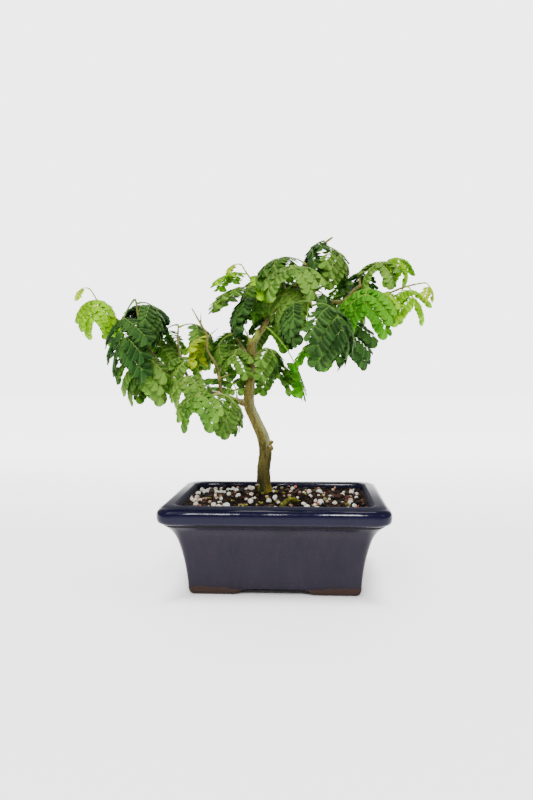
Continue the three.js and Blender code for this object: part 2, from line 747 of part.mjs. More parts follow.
// Every leaf in turn, each bent clear of the wood, the pot, the soil and the leaves before it
function buildLeaves(fixed) {
  const placed = fixed.map((geometry) => ({ box: boxOf(geometry), solid: toSolid(geometry) }));
  const built = [];
  for (const [twigName, rows] of Object.entries(LEAVES)) {
    rows.forEach(([t, heading, lift, droop, size, tone], row) => {
      let chosen = null;
      for (const [turn, raise] of bends()) {
        const leaf = { ...LEAF_SIZES[size], heading: heading + turn, lift: lift + raise, droop };
        leaf.base = leafBase(TWIGS[twigName], t, leaf.heading, leaf.lift);
        const skin = leafSkin(leaf);
        const wide = slab(skin, BEND_MARGIN);
        const box = boxOf(wide);
        const solid = toSolid(wide);
        const clear = placed.every((other) => (
          !box.intersectsBox(other.box) || solid.intersect(other.solid).isEmpty()
        ));
        if (clear) {
          chosen = { box, solid, geometry: slab(skin) };
          break;
        }
      }
      if (!chosen) throw new Error(`no room for leaf ${row + 1} on ${twigName}`);
      placed.push(chosen);
      built.push({ name: `leaf_${twigName}_${row + 1}`, geometry: chosen.geometry, tone });
    });
  }
  return built;
}

const group = new THREE.Group();

function addMesh(name, geometry, finish) {
  const mesh = new THREE.Mesh(geometry, new THREE.MeshStandardMaterial(FINISHES[finish]));
  mesh.name = name;
  group.add(mesh);
  return mesh;
}

const pot = addMesh('pot', buildPot(), 'glaze');
const soil = addMesh('soil', buildSoil(), 'soil');
const wood = addMesh('trunk_and_branches', buildWood(), 'bark');
addMesh('drain_screen_left', screenBox(-1, 0), 'screen');
addMesh('drain_screen_right', screenBox(1, 0), 'screen');
for (const { name, geometry, tone } of buildLeaves([pot, soil, wood].map((mesh) => mesh.geometry))) {
  addMesh(name, geometry, tone);
}

// Origin under the middle of the whole object, on the surface it stands on
const middle = new THREE.Box3().setFromObject(group).getCenter(new THREE.Vector3());
group.position.set(-middle.x, -middle.y, 0);
group.updateMatrixWorld(true);

export default group;
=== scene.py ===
import math

import bmesh
import bpy
import numpy as np
from mathutils import Matrix, Vector, kdtree, noise


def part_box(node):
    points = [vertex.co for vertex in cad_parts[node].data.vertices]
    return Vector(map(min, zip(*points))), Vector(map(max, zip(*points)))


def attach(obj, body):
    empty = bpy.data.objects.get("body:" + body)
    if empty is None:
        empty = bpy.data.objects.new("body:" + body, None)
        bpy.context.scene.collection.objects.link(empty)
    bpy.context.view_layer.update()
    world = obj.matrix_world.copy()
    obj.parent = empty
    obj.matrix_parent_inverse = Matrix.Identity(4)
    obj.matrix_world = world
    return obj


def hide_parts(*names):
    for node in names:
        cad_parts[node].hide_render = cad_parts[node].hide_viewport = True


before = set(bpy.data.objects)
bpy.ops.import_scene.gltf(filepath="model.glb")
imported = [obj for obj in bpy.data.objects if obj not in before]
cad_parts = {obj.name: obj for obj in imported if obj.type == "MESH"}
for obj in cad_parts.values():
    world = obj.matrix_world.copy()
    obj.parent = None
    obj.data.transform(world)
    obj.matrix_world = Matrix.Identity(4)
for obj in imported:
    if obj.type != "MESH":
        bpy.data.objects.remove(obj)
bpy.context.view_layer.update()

# A Brazilian rain tree bonsai in its glazed pot. Everything is laid out in millimetres
# round the middle of the pot's foot line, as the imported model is, and moved at the end.

MM = 0.001
BODY = "root"

pot_low, pot_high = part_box("pot")
SHIFT = np.array([(pot_low.x + pot_high.x) / 2, (pot_low.y + pot_high.y) / 2, 0]) / MM
UP = np.array([0.0, 0.0, 1.0])

# Pot, in millimetres: half length of the wall at each height, outside, rim and inside
RIM_HALF_LENGTH = 101.5
DEPTH_INSET = 24.5
POT_HEIGHT = 82
FLOOR_TOP = 13
FOOT_HEIGHT = 6
FOOT_BAND = 13
RIM_CORNER = 15
BASE_CORNER = 8
CORNER_SHRINK = 0.25
LEAST_CORNER = 3
POCKET_CORNER = 4
FRONT_RECESS = (41, 24)
SIDE_RECESS = (24, 11)
DRAIN_HOLE_RADIUS = 8
DRAIN_HOLE_X = 38
SCREEN_SIZE = 26
OUTER_WALL = [
    (0, 73), (0.6, 74.6), (3, 76.3), (12, 77.3), (22, 78.6), (31, 80.2), (40, 82.3), (47, 84.4),
    (52, 86.2), (56.5, 88.5), (60, 91), (63, 94), (65, 96.2), (65.9, 96.7), (66.4, 97.6),
]
RIM_WALL = [
    (67, 99.2), (68.6, 100.8), (71, 101.5), (74, 101.7), (76.6, 101.4), (78.9, 100.1), (80.4, 98.1),
    (81.3, 96), (81.9, 93.7), (82.2, 91.2), (81.9, 88.8), (81, 87), (79, 86),
]
INNER_WALL = [(66, 84.6), (53, 80.4), (40, 75.6), (26, 72), (18, 70), (14.5, 68), (FLOOR_TOP, 64)]

# Soil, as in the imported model
SOIL_EDGE = 77
SOIL_CROWN = 82
SOIL_MOUND = (70, 50, 1.6)
LUMP_HEIGHT = 0.5
LUMP_WAVES = [(0.31, 0.17, 0), (-0.13, 0.37, 1)]
STONES = 30
STONE_RADIUS = (2.6, 4.4)
STONE_TO_WALL = 8
STONE_TO_TRUNK = 15
STONE_TRIES = 20
STONE_SEEDS = {"size": 7, "x": 11, "y": 41}
SOIL_BRIM = 85.8
TRUNK_FOOT = (-13, 8)

# Trunk, branches and twigs: points on the centre line and the radius at each
TWIGS = {
    "trunk": (
        [(-12, 9, 54), (-13, 8, 72), (-13, 8, 82), (-13, 8, 90), (-13, 7, 103), (-11, 5, 122), (-13, 3, 135),
         (-20, 0, 152), (-26, -1, 167), (-25, 0, 185), (-24, 1, 207), (-23, 2, 224), (-22, 2, 230)],
        [4.5, 7.6, 8.4, 6.8, 5.9, 5.9, 5.6, 4.8, 4.7, 4, 4, 4.2, 4.2],
    ),
    "left": (
        [(-26, -1, 167), (-38, -5, 171), (-51, -10, 176), (-65, -12, 181), (-81, -10, 188), (-101, -6, 199),
         (-118, -8, 217), (-127, -14, 243), (-130, -18, 266)],
        [3.6, 2.9, 2.5, 2.1, 1.9, 1.7, 1.4, 1.2, 0.9],
    ),
    "far_left": (
        [(-121, -10, 225), (-140, -4, 241), (-156, 4, 247), (-169, 10, 252), (-176, 14, 267),
         (-182, 16, 277), (-185, 17, 281)],
        [1.3, 1.2, 1.1, 1, 0.8, 0.7, 0.7],
    ),
    "left_back": ([(-81, -10, 188), (-91, 6, 206), (-98, 20, 228), (-100, 32, 246)], [1.8, 1.5, 1.2, 0.9]),
    "left_low": ([(-51, -10, 176), (-55, -26, 177), (-60, -40, 174)], [1.8, 1.3, 0.9]),
    "thorny": (
        [(-51, -10, 176), (-56, -8, 203), (-65, -6, 220), (-65, -5, 232), (-72, -4, 245), (-80, -3, 259)],
        [1.9, 1.5, 1.3, 1.2, 1, 0.6],
    ),
    "crown": (
        [(-23, 2, 222), (-11, 2, 242), (-2, 0, 255), (12, -3, 268), (23, -3, 284), (32, 0, 301),
         (37, 2, 310), (45, 4, 318), (54, 6, 325)],
        [2.8, 2.3, 2.2, 2.1, 1.9, 1.7, 1.5, 1.3, 1],
    ),
    "right": (
        [(12, -3, 268), (28, -8, 266), (46, -10, 263), (63, -8, 263), (71, -5, 271), (79, -3, 277),
         (95, -6, 270), (105, -8, 270), (116, -8, 274), (126, -7, 277), (137, -6, 279)],
        [2, 1.9, 1.7, 1.6, 1.5, 1.4, 1.1, 1, 1, 0.9, 0.7],
    ),
    "right_up": (
        [(79, -3, 277), (80, 2, 289), (87, 4, 294), (97, 6, 295), (104, 7, 298), (110, 8, 302)],
        [1.3, 1, 1, 0.9, 0.8, 0.7],
    ),
    "front": ([(23, -3, 284), (28, -20, 278), (31, -38, 267), (34, -54, 254)], [1.7, 1.4, 1.2, 0.9]),
    "back": ([(12, -3, 268), (7, 16, 281), (2, 34, 291), (-6, 50, 296)], [1.9, 1.5, 1.2, 0.9]),
    "back_right": ([(28, -8, 266), (40, 12, 277), (52, 30, 286), (63, 46, 290)], [1.7, 1.4, 1.1, 0.9]),
    "up_left": (
        [(-2, 0, 255), (-13, 6, 272), (-22, 8, 284), (-29, 9, 294), (-33, 10, 301)],
        [1.6, 1.2, 1, 0.8, 0.7],
    ),
    "inner_front": ([(-25, 0, 205), (-18, -9, 214), (-11, -16, 219)], [1.8, 1.3, 0.9]),
    "inner_back": ([(-24, 1, 207), (-36, 16, 226), (-46, 30, 239)], [1.8, 1.4, 0.9]),
}

# Bare spurs, thorns and pruned stubs: root, tip, radius at each
SPURS = [
    ((-12, 4, 123), (-4.4, 1, 125.6), 2.8, 2),
    ((-12, 4, 129), (-3.4, 0, 131.4), 2.3, 1.2),
    ((-23, 2, 224), (-31, -2, 241), 1.2, 0.5),
    ((-22, 2, 224), (-18, 1, 238), 1.6, 1),
    ((-71, -4, 244), (-71, -5, 254), 0.9, 0.4),
    ((-65, -5, 231), (-54, -9, 239), 0.9, 0.4),
    ((-54, -9, 190), (-51, -12, 205), 0.9, 0.4),
    ((-54, -9, 192), (-42, -11, 196), 0.9, 0.5),
]

# Swellings of the finer wood, at the pruned knot and at the left foot
SWELLINGS = [
    ((-10, 3.5, 120), (-7.8, 2.5, 127), 4.2, 3.9),
    ((-8.5, 3, 124), (-4, 1.2, 125.4), 3.3, 2.5),
    ((-9, 3, 128), (-3.6, 0.5, 131.4), 2.7, 1.6),
    ((-18.2, 3.5, 83), (-19, 2.5, 89.5), 3.0, 2.4),
]

# Height and share by which the finer trunk is fuller
TRUNK_FULLNESS = [(85, 1.0), (105, 1.07), (145, 1.08), (170, 1.14), (228, 1.14)]

# Where the trunk was cut and has healed green
GREEN_TIP = (-22, 1, 233)

# Leaf sizes: stalk length, pairs of pinnae, their angle, pinna length, half width, leaflet pairs
LEAF_PARTS = ("stalk", "pairs", "spread", "pinna", "half", "leaflets")
LEAF_SIZES = {
    "great": (46, 2, 52, 38, 9.6, 8),
    "large": (36, 2, 52, 35, 8.8, 7),
    "medium": (30, 2, 52, 29, 7.4, 6),
    "hanging": (44, 1, 40, 38, 9.6, 8),
    "lanky": (42, 1, 48, 24, 7, 6),
    "small": (15, 1, 50, 26, 7, 6),
    "young": (8, 1, 46, 14, 4.2, 5),
}

# One row a leaf: place along its twig, heading, lift, droop, size and tone
LEAVES = {
    "far_left": [
        (1, -155, 25, 60, "young", "yellow"),
        (0.68, -78, 25, 110, "medium", "lime"),
        (0.5, 20, 20, 85, "small", "lime"),
        (0.12, 120, -10, 80, "small", "green"),
    ],
    "left": [
        (1, -150, -56, 46, "great", "dark"),
        (0.98, -50, 5, 100, "medium", "dark"),
        (0.93, 75, 30, 90, "medium", "dark"),
        (0.8, -105, -15, 75, "large", "green"),
        (0.75, 125, 5, 80, "medium", "green"),
        (0.44, -110, 65, 120, "medium", "green"),
        (0.125, 120, 80, 40, "small", "green"),
    ],
    "left_back": [
        (1, 150, 5, 90, "large", "green"),
        (0.95, 0, 30, 95, "large", "green"),
        (0.4, -60, 0, 80, "small", "green"),
    ],
    "left_low": [
        (1, -100, 45, 100, "medium", "green"),
        (0.75, -20, 35, 100, "medium", "green"),
    ],
    "thorny": [
        (0.6, 200, 0, 70, "small", "lime"),
    ],
    "inner_front": [
        (1, -35, 20, 100, "small", "green"),
        (0.5, 55, 0, 60, "medium", "green"),
    ],
    "inner_back": [
        (1, 120, 10, 85, "large", "green"),
        (0.9, -165, 15, 85, "medium", "green"),
        (0.35, 200, -20, 60, "small", "green"),
    ],
    "up_left": [
        (1, 190, 20, 50, "young", "yellow"),
        (0.72, 180, 20, 40, "small", "lime"),
        (0.6, -15, 20, 70, "small", "lime"),
        (0.4, -170, 10, 40, "medium", "green"),
        (0.2, 185, 20, 80, "medium", "dark"),
    ],
    "crown": [
        (0.9, -160, -20, 50, "small", "dark"),
        (0.84, -30, -5, 85, "medium", "green"),
        (0.72, 60, 10, 90, "small", "green"),
        (0.6, 170, 12, 75, "large", "green"),
        (0.5, -100, 20, 85, "large", "green"),
        (0.25, 110, 15, 85, "medium", "green"),
        (0.125, 5, -50, 26, "hanging", "bright"),
        (0.46, -140, 0, 85, "medium", "green"),
    ],
    "front": [
        (1, -45, 15, 100, "great", "dark"),
        (0.9, -170, 15, 95, "medium", "dark"),
        (0.8, -100, -75, 20, "lanky", "bright"),
        (0.55, 0, 0, 90, "medium", "dark"),
    ],
    "back": [
        (1, 80, 15, 90, "large", "green"),
        (0.85, 170, 15, 85, "large", "green"),
        (0.6, 40, 15, 90, "medium", "dark"),
    ],
    "back_right": [
        (1, 60, 15, 90, "large", "green"),
        (0.85, -10, 15, 90, "medium", "green"),
    ],
    "right": [
        (1, -45, -5, 70, "young", "yellow"),
        (0.86, -70, -20, 65, "small", "lime"),
        (0.7, -110, -5, 80, "small", "lime"),
        (0.56, -85, 5, 85, "large", "bright"),
        (0.3, -95, -45, 50, "large", "dark"),
    ],
    "right_up": [
        (1, -60, 35, 110, "small", "lime"),
        (0.7, -80, 25, 90, "small", "green"),
        (0.35, 170, 10, 80, "small", "dark"),
    ],
}

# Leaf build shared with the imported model
STALK_WIDTH = 1.4
RIB_WIDTH = 1.1
FIRST_PAIR = 0.48
INNER_SPREAD = 70
PINNA_DROOP = 0.72
BLADE_FOLD = 24
BLADE_SWEEP = 2.2
BLADE_THICKNESS = 0.66
STALK_THICKNESS = 1.2
RIB_THICKNESS = 0.9
LARGE_HALF = 8.8
RIB_STATIONS = (0, 0.34, 0.66, 0.9)
LEAFLET_SPAN = (0.14, 0.98, 1.15)
TIP_REACH = 0.5
FIRST_REACH = 0.8
BASE_CLEARANCE = 0.35
SLANT_CLEARANCE = 0.6
MOST_TURN = 60
MOST_LIFT = 30
BEND_STEP = 10
LIFT_WEIGHT = 2
# Distance from its node's box at which a leaf is taken as found, and at which a line is printed
BOX_MATCH = 0.02
BOX_WARNING = 0.5
# Share of a twig over which its direction is taken
SMALL_STEP = 1e-4


def draw(seed, k):
    """A repeatable draw between 0 and 1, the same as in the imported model's source."""
    h = (seed * 374761393 + k * 668265263) & 0xFFFFFFFF
    h = ((h ^ (h >> 13)) * 1274126177) & 0xFFFFFFFF
    return (h ^ (h >> 16)) / 4294967296


def unit(v):
    return v / np.linalg.norm(v)


# Curves

def curve_point(points, t):
    """Centripetal Catmull-Rom curve through the points, at t from 0 to 1."""
    count = len(points)
    place = (count - 1) * t
    i = min(int(place), count - 2)
    w = place - i
    p1, p2 = points[i], points[i + 1]
    p0 = points[i - 1] if i > 0 else 2 * p1 - p2
    p3 = points[i + 2] if i + 2 < count else 2 * p2 - p1
    d0, d1, d2 = (np.linalg.norm(b - a) ** 0.5 for a, b in ((p0, p1), (p1, p2), (p2, p3)))
    m1 = ((p1 - p0) / d0 - (p2 - p0) / (d0 + d1) + (p2 - p1) / d1) * d1
    m2 = ((p2 - p1) / d1 - (p3 - p1) / (d1 + d2) + (p3 - p2) / d2) * d1
    return p1 + m1 * w + (3 * (p2 - p1) - 2 * m1 - m2) * w * w + (2 * (p1 - p2) + m1 + m2) * w ** 3


def curve_path(points, count):
    """The curve through the points, as an array of so many points."""
    points = np.array(points, float)
    return np.array([curve_point(points, t) for t in np.linspace(0, 1, count)])


def distances(path):
    """Distance along a path at each of its points."""
    return np.concatenate([[0], np.cumsum(np.linalg.norm(np.diff(path, axis=0), axis=1))])


def radius_at(radii, t):
    """Radius of a limb at a share t of its points."""
    return np.interp(t * (len(radii) - 1), range(len(radii)), radii)


# Leaf frames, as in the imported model

def drooping_arc(root, start, down, side, length, droop):
    """Place, direction, side and upper side at a share of an arc that droops from its start."""
    bend = math.radians(droop)

    def at(share):
        sin, cos = math.sin(bend * share), math.cos(bend * share)
        place = root + length * (start * sin + down * (1 - cos)) / bend
        return place, start * cos + down * sin, side, start * sin - down * cos
    return at


def stalk_arc(leaf):
    heading, lift = math.radians(leaf["heading"]), math.radians(leaf["lift"])
    ahead = np.array([math.cos(heading), math.sin(heading), 0])
    start = ahead * math.cos(lift) + UP * math.sin(lift)
    down = ahead * math.sin(lift) - UP * math.cos(lift)
    return drooping_arc(leaf["base"], start, down, np.cross(UP, ahead), leaf["stalk"], leaf["droop"])


def pinna_arc(leaf, s, hand, spread):
    """The arc of one pinna's rib, from a share s of the stalk."""
    place, along, side, upper = stalk_arc(leaf)(s)
    angle = math.radians(spread)
    start = along * math.cos(angle) + side * hand * math.sin(angle)
    down = -upper - UP
    down = unit(down - start * down.dot(start))
    root = place + side * hand * STALK_WIDTH / 2
    across = np.cross(down, start) * hand
    return drooping_arc(root, start, down, across, leaf["pinna"], leaf["droop"] * PINNA_DROOP)


def pair_ends(leaf):
    """Share of the stalk at which each pair of pinnae ends."""
    return [FIRST_PAIR, 1] if leaf["pairs"] == 2 else [1]


def pinna_roots(leaf):
    """Share of the stalk and spread of each pair of pinnae."""
    half_step = STALK_WIDTH / leaf["stalk"] / 2
    return [(end - half_step, leaf["spread"] if end == 1 else INNER_SPREAD) for end in pair_ends(leaf)]


def blade_rims():
    """Share of the rib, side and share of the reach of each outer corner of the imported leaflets."""
    near, far, end = LEAFLET_SPAN
    last = len(RIB_STATIONS) - 2
    rims = []
    for i, start in enumerate(RIB_STATIONS[:-1]):
        length = RIB_STATIONS[i + 1] - start
        for way in (1, -1):
            rims.append((start + (end if i == last else far) * length, way, TIP_REACH if i == last else 1))
            if i > 0 or way < 0:
                rims.append((start + near * length, way, 1 if i > 0 else FIRST_REACH))
    return rims


BLADE_RIMS = blade_rims()


def corners(middle, *offsets):
    """The points that the offsets lead to from a middle, each taken both ways."""
    points = [middle]
    for offset in offsets:
        points = [point + way * offset for point in points for way in (1, -1)]
    return points


def outline_box(leaf):
    """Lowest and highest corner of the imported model's leaf, for one way that it may be bent."""
    points = []
    step = STALK_WIDTH / leaf["stalk"]
    ends = pair_ends(leaf)
    stalk = stalk_arc(leaf)
    for s in [0, ends[0] / 2, *(x for end in ends for x in (end - step, end))]:
        place, _, side, upper = stalk(s)
        points += corners(place, side * STALK_WIDTH / 2, upper * STALK_THICKNESS / 2)
    fold = math.radians(BLADE_FOLD)
    sweep = BLADE_SWEEP * leaf["half"] / LARGE_HALF
    for s, spread in pinna_roots(leaf):
        for hand in (1, -1):
            rib = pinna_arc(leaf, s, hand, spread)
            for q in RIB_STATIONS[1:]:
                place, _, across, upper = rib(q)
                points += corners(place, across * RIB_WIDTH / 2, upper * RIB_THICKNESS / 2)
            for q, way, share in BLADE_RIMS:
                place, along, across, upper = rib(q)
                reach = leaf["half"] * share
                rim = (place + across * way * (RIB_WIDTH / 2 + reach * math.cos(fold))
                       - upper * reach * math.sin(fold) + along * sweep)
                normal = upper * math.cos(fold) + across * way * math.sin(fold)
                points += corners(rim, normal * BLADE_THICKNESS / 2)
    return np.array([np.min(points, 0), np.max(points, 0)])


def leaf_base(twig, t, heading, lift):
    """Where a leaf leaves its twig, and the twig's centre there."""
    points, radii = twig
    points = np.array(points, float)
    centre = curve_point(points, t)
    along = unit(curve_point(points, min(t + SMALL_STEP, 1)) - curve_point(points, max(t - SMALL_STEP, 0)))
    radius = radius_at(radii, t)
    h, l = math.radians(heading), math.radians(lift)
    away = np.array([math.cos(h) * math.cos(l), math.sin(h) * math.cos(l), math.sin(l)])
    forward = away.dot(along)
    if t == 1 and forward > 0:
        over_end = radius * np.linalg.norm(np.cross(away, along))
        return centre + away * (over_end + BASE_CLEARANCE), centre
    off = unit(away - along * forward)
    return centre + off * (radius + BASE_CLEARANCE + SLANT_CLEARANCE * abs(forward)), centre


def bends():
    """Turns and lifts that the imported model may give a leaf, the slightest first."""
    turns = range(-MOST_TURN, MOST_TURN + 1, BEND_STEP)
    lifts = range(-MOST_LIFT, MOST_LIFT + 1, BEND_STEP)
    pairs = [(turn, lift) for turn in turns for lift in lifts]
    return sorted(pairs, key=lambda p: p[0] ** 2 + LIFT_WEIGHT * p[1] ** 2)


def find_leaf(node, twig, t, heading, lift, droop, size):
    """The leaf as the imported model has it, found by the box of its node."""
    target = np.array(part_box(node)) / MM - SHIFT
    nearest = math.inf
    for turn, raised in bends():
        leaf = dict(zip(LEAF_PARTS, LEAF_SIZES[size]), size=size, droop=droop)
        leaf.update(heading=heading + turn, lift=lift + raised)
        leaf["base"], leaf["twig"] = leaf_base(TWIGS[twig], t, leaf["heading"], leaf["lift"])
        error = np.abs(outline_box(leaf) - target).max()
        if error < nearest:
            nearest, found = error, leaf
        if error < BOX_MATCH:
            break
    if nearest > BOX_WARNING:
        print(f"leaf {node} is {nearest:.2f} mm off its node")
    return found


# Meshes

class Shape:
    """Points and faces of one piece as they are added, with three values kept at each point."""

    def __init__(self):
        self.points = []
        self.faces = []
        self.values = []
        self.count = 0

    def add(self, points, faces, values=(0, 0, 0)):
        self.points.append(points)
        self.faces += [face + self.count for face in faces]
        self.values.append(np.broadcast_to(values, points.shape))
        self.count += len(points)

    def build(self, name, shift=0, scale=1):
        """A new object in the scene, with the points shifted and then scaled."""
        mesh = bpy.data.meshes.new(name)
        points = (np.concatenate(self.points) + shift) * scale
        mesh.vertices.add(len(points))
        mesh.vertices.foreach_set("co", points.astype(np.float32).ravel())
        loops = np.concatenate([f.ravel() for f in self.faces]).astype(np.int32)
        sizes = np.concatenate([np.full(len(f), f.shape[1]) for f in self.faces])
        mesh.loops.add(len(loops))
        mesh.loops.foreach_set("vertex_index", loops)
        mesh.polygons.add(len(sizes))
        mesh.polygons.foreach_set("loop_start", (np.cumsum(sizes) - sizes).astype(np.int32))
        mesh.update(calc_edges=True)
        mesh.polygons.foreach_set("use_smooth", np.ones(len(sizes), bool))
        return scene_object(name, mesh)

    def piece(self, name, slot, material, nodes=()):
        obj = self.build(name, SHIFT, MM)
        values = obj.data.attributes.new("trait", "FLOAT_VECTOR", "POINT")
        values.data.foreach_set("vector", np.concatenate(self.values).astype(np.float32).ravel())
        finish_piece(obj, material, nodes)


def scene_object(name, data):
    obj = bpy.data.objects.new(name, data)
    bpy.context.scene.collection.objects.link(obj)
    return obj


def finish_piece(obj, material, nodes):
    obj.data.materials.append(material)
    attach(obj, BODY)
    if nodes:
        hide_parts(*nodes)


def loft_faces(rings, around):
    """Quads between each ring and the next."""
    i = np.arange(around)
    j = (i + 1) % around
    base = (np.arange(rings - 1) * around)[:, None]
    return np.stack([base + i, base + j, base + around + j, base + around + i], -1).reshape(-1, 4)


def capped(rings, first, last):
    """Points and faces of a closed loft through the rings, with a fan to a point at each end."""
    count, around = len(rings), len(rings[0])
    i = np.arange(around)
    j = (i + 1) % around
    top = (count - 1) * around
    ends = np.full(around, count * around)
    caps = np.concatenate([np.stack([j, i, ends], -1), np.stack([top + i, top + j, ends + 1], -1)])
    return np.concatenate([*rings, [first, last]]), [loft_faces(count, around), caps]


def tube(path, radii, sides):
    """Points and faces of a closed round bar along a path."""
    path = np.asarray(path, float)
    side = np.array([0.31, 0.95, 0.05])
    angles = 2 * np.pi * np.arange(sides) / sides
    rings = []
    for centre, tangent, radius in zip(path, np.gradient(path, axis=0), np.broadcast_to(radii, len(path))):
        tangent = unit(tangent)
        side = unit(side - tangent * side.dot(tangent))
        other = np.cross(tangent, side)
        rings.append(centre + radius * (np.outer(np.cos(angles), side) + np.outer(np.sin(angles), other)))
    return capped(rings, path[0], path[-1])


# Leaflet: a rounded oblong, narrower at its base, channelled along its midrib

BLADE_ROWS, BLADE_COLUMNS = 7, 4
BASE_NARROWING = 0.28
BASE_SLANT = 0.2
BLADE_SKIN = 0.26
SKIN_THINNING = 0.55
BLADE_CHANNEL = 0.10
BLADE_CUPPING = 0.17


def blade_shares(lean):
    """Share along and across a leaflet at each point of its grid; lean slants its base."""
    p = np.linspace(-1, 1, BLADE_ROWS + 1)[:, None]
    q = np.linspace(-1, 1, BLADE_COLUMNS + 1)
    along = p * np.sqrt(1 - q ** 2 / 2)
    back = (1 - along) / 2
    across = q * np.sqrt(1 - p ** 2 / 2) * (1 - BASE_NARROWING * back ** 1.5)
    along = along + lean * BASE_SLANT * across * back ** 2
    return ((along + 1) / 2).ravel(), (across / math.sqrt(0.5)).ravel()


def blade_faces():
    """Faces of a leaflet's two sides and of the rim between them."""
    size = (BLADE_ROWS + 1) * (BLADE_COLUMNS + 1)
    grid = np.arange(size).reshape(BLADE_ROWS + 1, BLADE_COLUMNS + 1)
    top = np.stack([grid[:-1, :-1], grid[1:, :-1], grid[1:, 1:], grid[:-1, 1:]], -1).reshape(-1, 4)
    border = np.concatenate([grid[:-1, 0], grid[-1, :-1], grid[:0:-1, -1], grid[0, :0:-1]])
    after = np.roll(border, -1)
    rim = np.stack([after, border, border + size, after + size], -1)
    return np.concatenate([top, top[:, ::-1] + size, rim])


BLADE_SHARES = {lean: blade_shares(lean) for lean in (1, -1)}
BLADE_FACES = blade_faces()


def add_blade(shape, root, axis, normal, length, width, curl, lean, tint):
    """Adds a leaflet; its points keep their shares along and across it, and its tint."""
    u, v = BLADE_SHARES[lean]
    rise = width * (BLADE_CHANNEL * np.abs(v) - BLADE_CUPPING * v ** 2) - length * curl * u ** 2
    edge = np.maximum(np.abs(2 * u - 1), np.abs(v)) ** 3
    skin = BLADE_SKIN / 2 * (1 - SKIN_THINNING * edge)
    middle = root + np.outer(u * length, axis) + np.outer(v * width / 2, np.cross(normal, axis))
    points = np.concatenate([middle + np.outer(rise + skin, normal), middle + np.outer(rise - skin, normal)])
    shape.add(points, [BLADE_FACES], np.stack([np.tile(u, 2), np.tile(v, 2), np.full(2 * len(u), tint)], -1))


def rolled(normal, axis, angle):
    """The normal turned round an axis that is square to it."""
    return normal * math.cos(angle) + np.cross(axis, normal) * math.sin(angle)


STALK_SIDES = 8
STALK_STEPS = 15
# Radius at the foot, middle and end of a large leaf's stalk, and how it goes by the leaf's half width
STALK_RADIUS = (0.85, 0.62, 0.5)
STALK_GIRTH = (0.75, 35)
STALK_SWELLING = 1.3
# How far a stalk goes on past its last pinnae, and the share of its radius there
STALK_TIP = (1.4, 0.3)
RIB_SIDES = 6
RIB_STEPS = 12
RIB_START, RIB_END = 0.3, 0.95
RIB_RADIUS = (0.62, 0.5, 0.26)
RIB_PLACES = (0, 0.08, 1)
# Values kept on stalks and ribs, whose tint is below any leaflet's
RIB_VALUES = (0.5, 0, -1)
SPREAD_CHANGE = 4
# Leaflets, with a second value for the last pair of a pinna, and the change allowed in each angle
LEAFLET_FORWARD = (22, 46)
LEAFLET_LENGTH = (1.16, 1.22)
LEAFLET_WIDTH = (1.40, 1.66)
LEAFLET_FOLD = 14
LEAFLET_ROLL = 15
LEAFLET_CHANGES = (5, 8, 8)
LEAFLET_GROWTH = (0.9, 0.97)
LEAFLET_START = 0.42
LEAFLET_SPARE = 0.35
LEAFLET_CURL = (0.03, 0.15)
LENGTH_RANGE = (0.94, 1.05)
WIDTH_RANGE = (0.92, 1.06)
# How far to the side of its rib's middle, and under it, a leaflet begins
LEAFLET_ROOT = (0.25, 0.05)
TINT_SHARED = 0.55
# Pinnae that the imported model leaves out: share of the stalk, spread and length share
MIDDLE_PINNAE = (0.74, 62, 0.96)
SMALL_PINNAE = (0.45, 72, 0.85)
SMALL_LEAFLETS = 5


def fine_pinnae(leaf):
    """Share of the stalk, spread, length share and leaflet pairs of each pair of pinnae."""
    count = leaf["leaflets"]
    pinnae = [(s, spread, 1, count) for s, spread in pinna_roots(leaf)]
    if leaf["pairs"] == 2:
        pinnae.append((*MIDDLE_PINNAE, count))
    elif leaf["size"] == "small":
        pinnae.append((*SMALL_PINNAE, SMALL_LEAFLETS))
    return pinnae


def build_leaf(leaf, rng):
    """Finer leaf: round stalk and ribs, and pairs of leaflets on each pinna."""
    shape = Shape()
    stations = [stalk_arc(leaf)(s) for s in np.linspace(0, 1, STALK_STEPS)]
    end, along, _, _ = stations[-1]
    reach, tip_girth = STALK_TIP
    path = [leaf["twig"], *(station[0] for station in stations), end + along * reach]
    radii = np.interp(np.linspace(0, 1, len(path)), [0, 0.5, 1], STALK_RADIUS)
    radii *= STALK_GIRTH[0] + leaf["half"] / STALK_GIRTH[1]
    radii[1:3] *= STALK_SWELLING
    radii[-1] *= tip_girth
    shape.add(*tube(path, radii, STALK_SIDES), RIB_VALUES)
    leaf_tint = rng.random()
    for s, spread, share, count in fine_pinnae(leaf):
        for hand in (1, -1):
            change = rng.uniform(-SPREAD_CHANGE, SPREAD_CHANGE) * (share < 1)
            rib = pinna_arc(leaf, s, hand, spread + change)
            add_pinna(shape, leaf, rib, share, count, hand, leaf_tint, rng)
    return shape


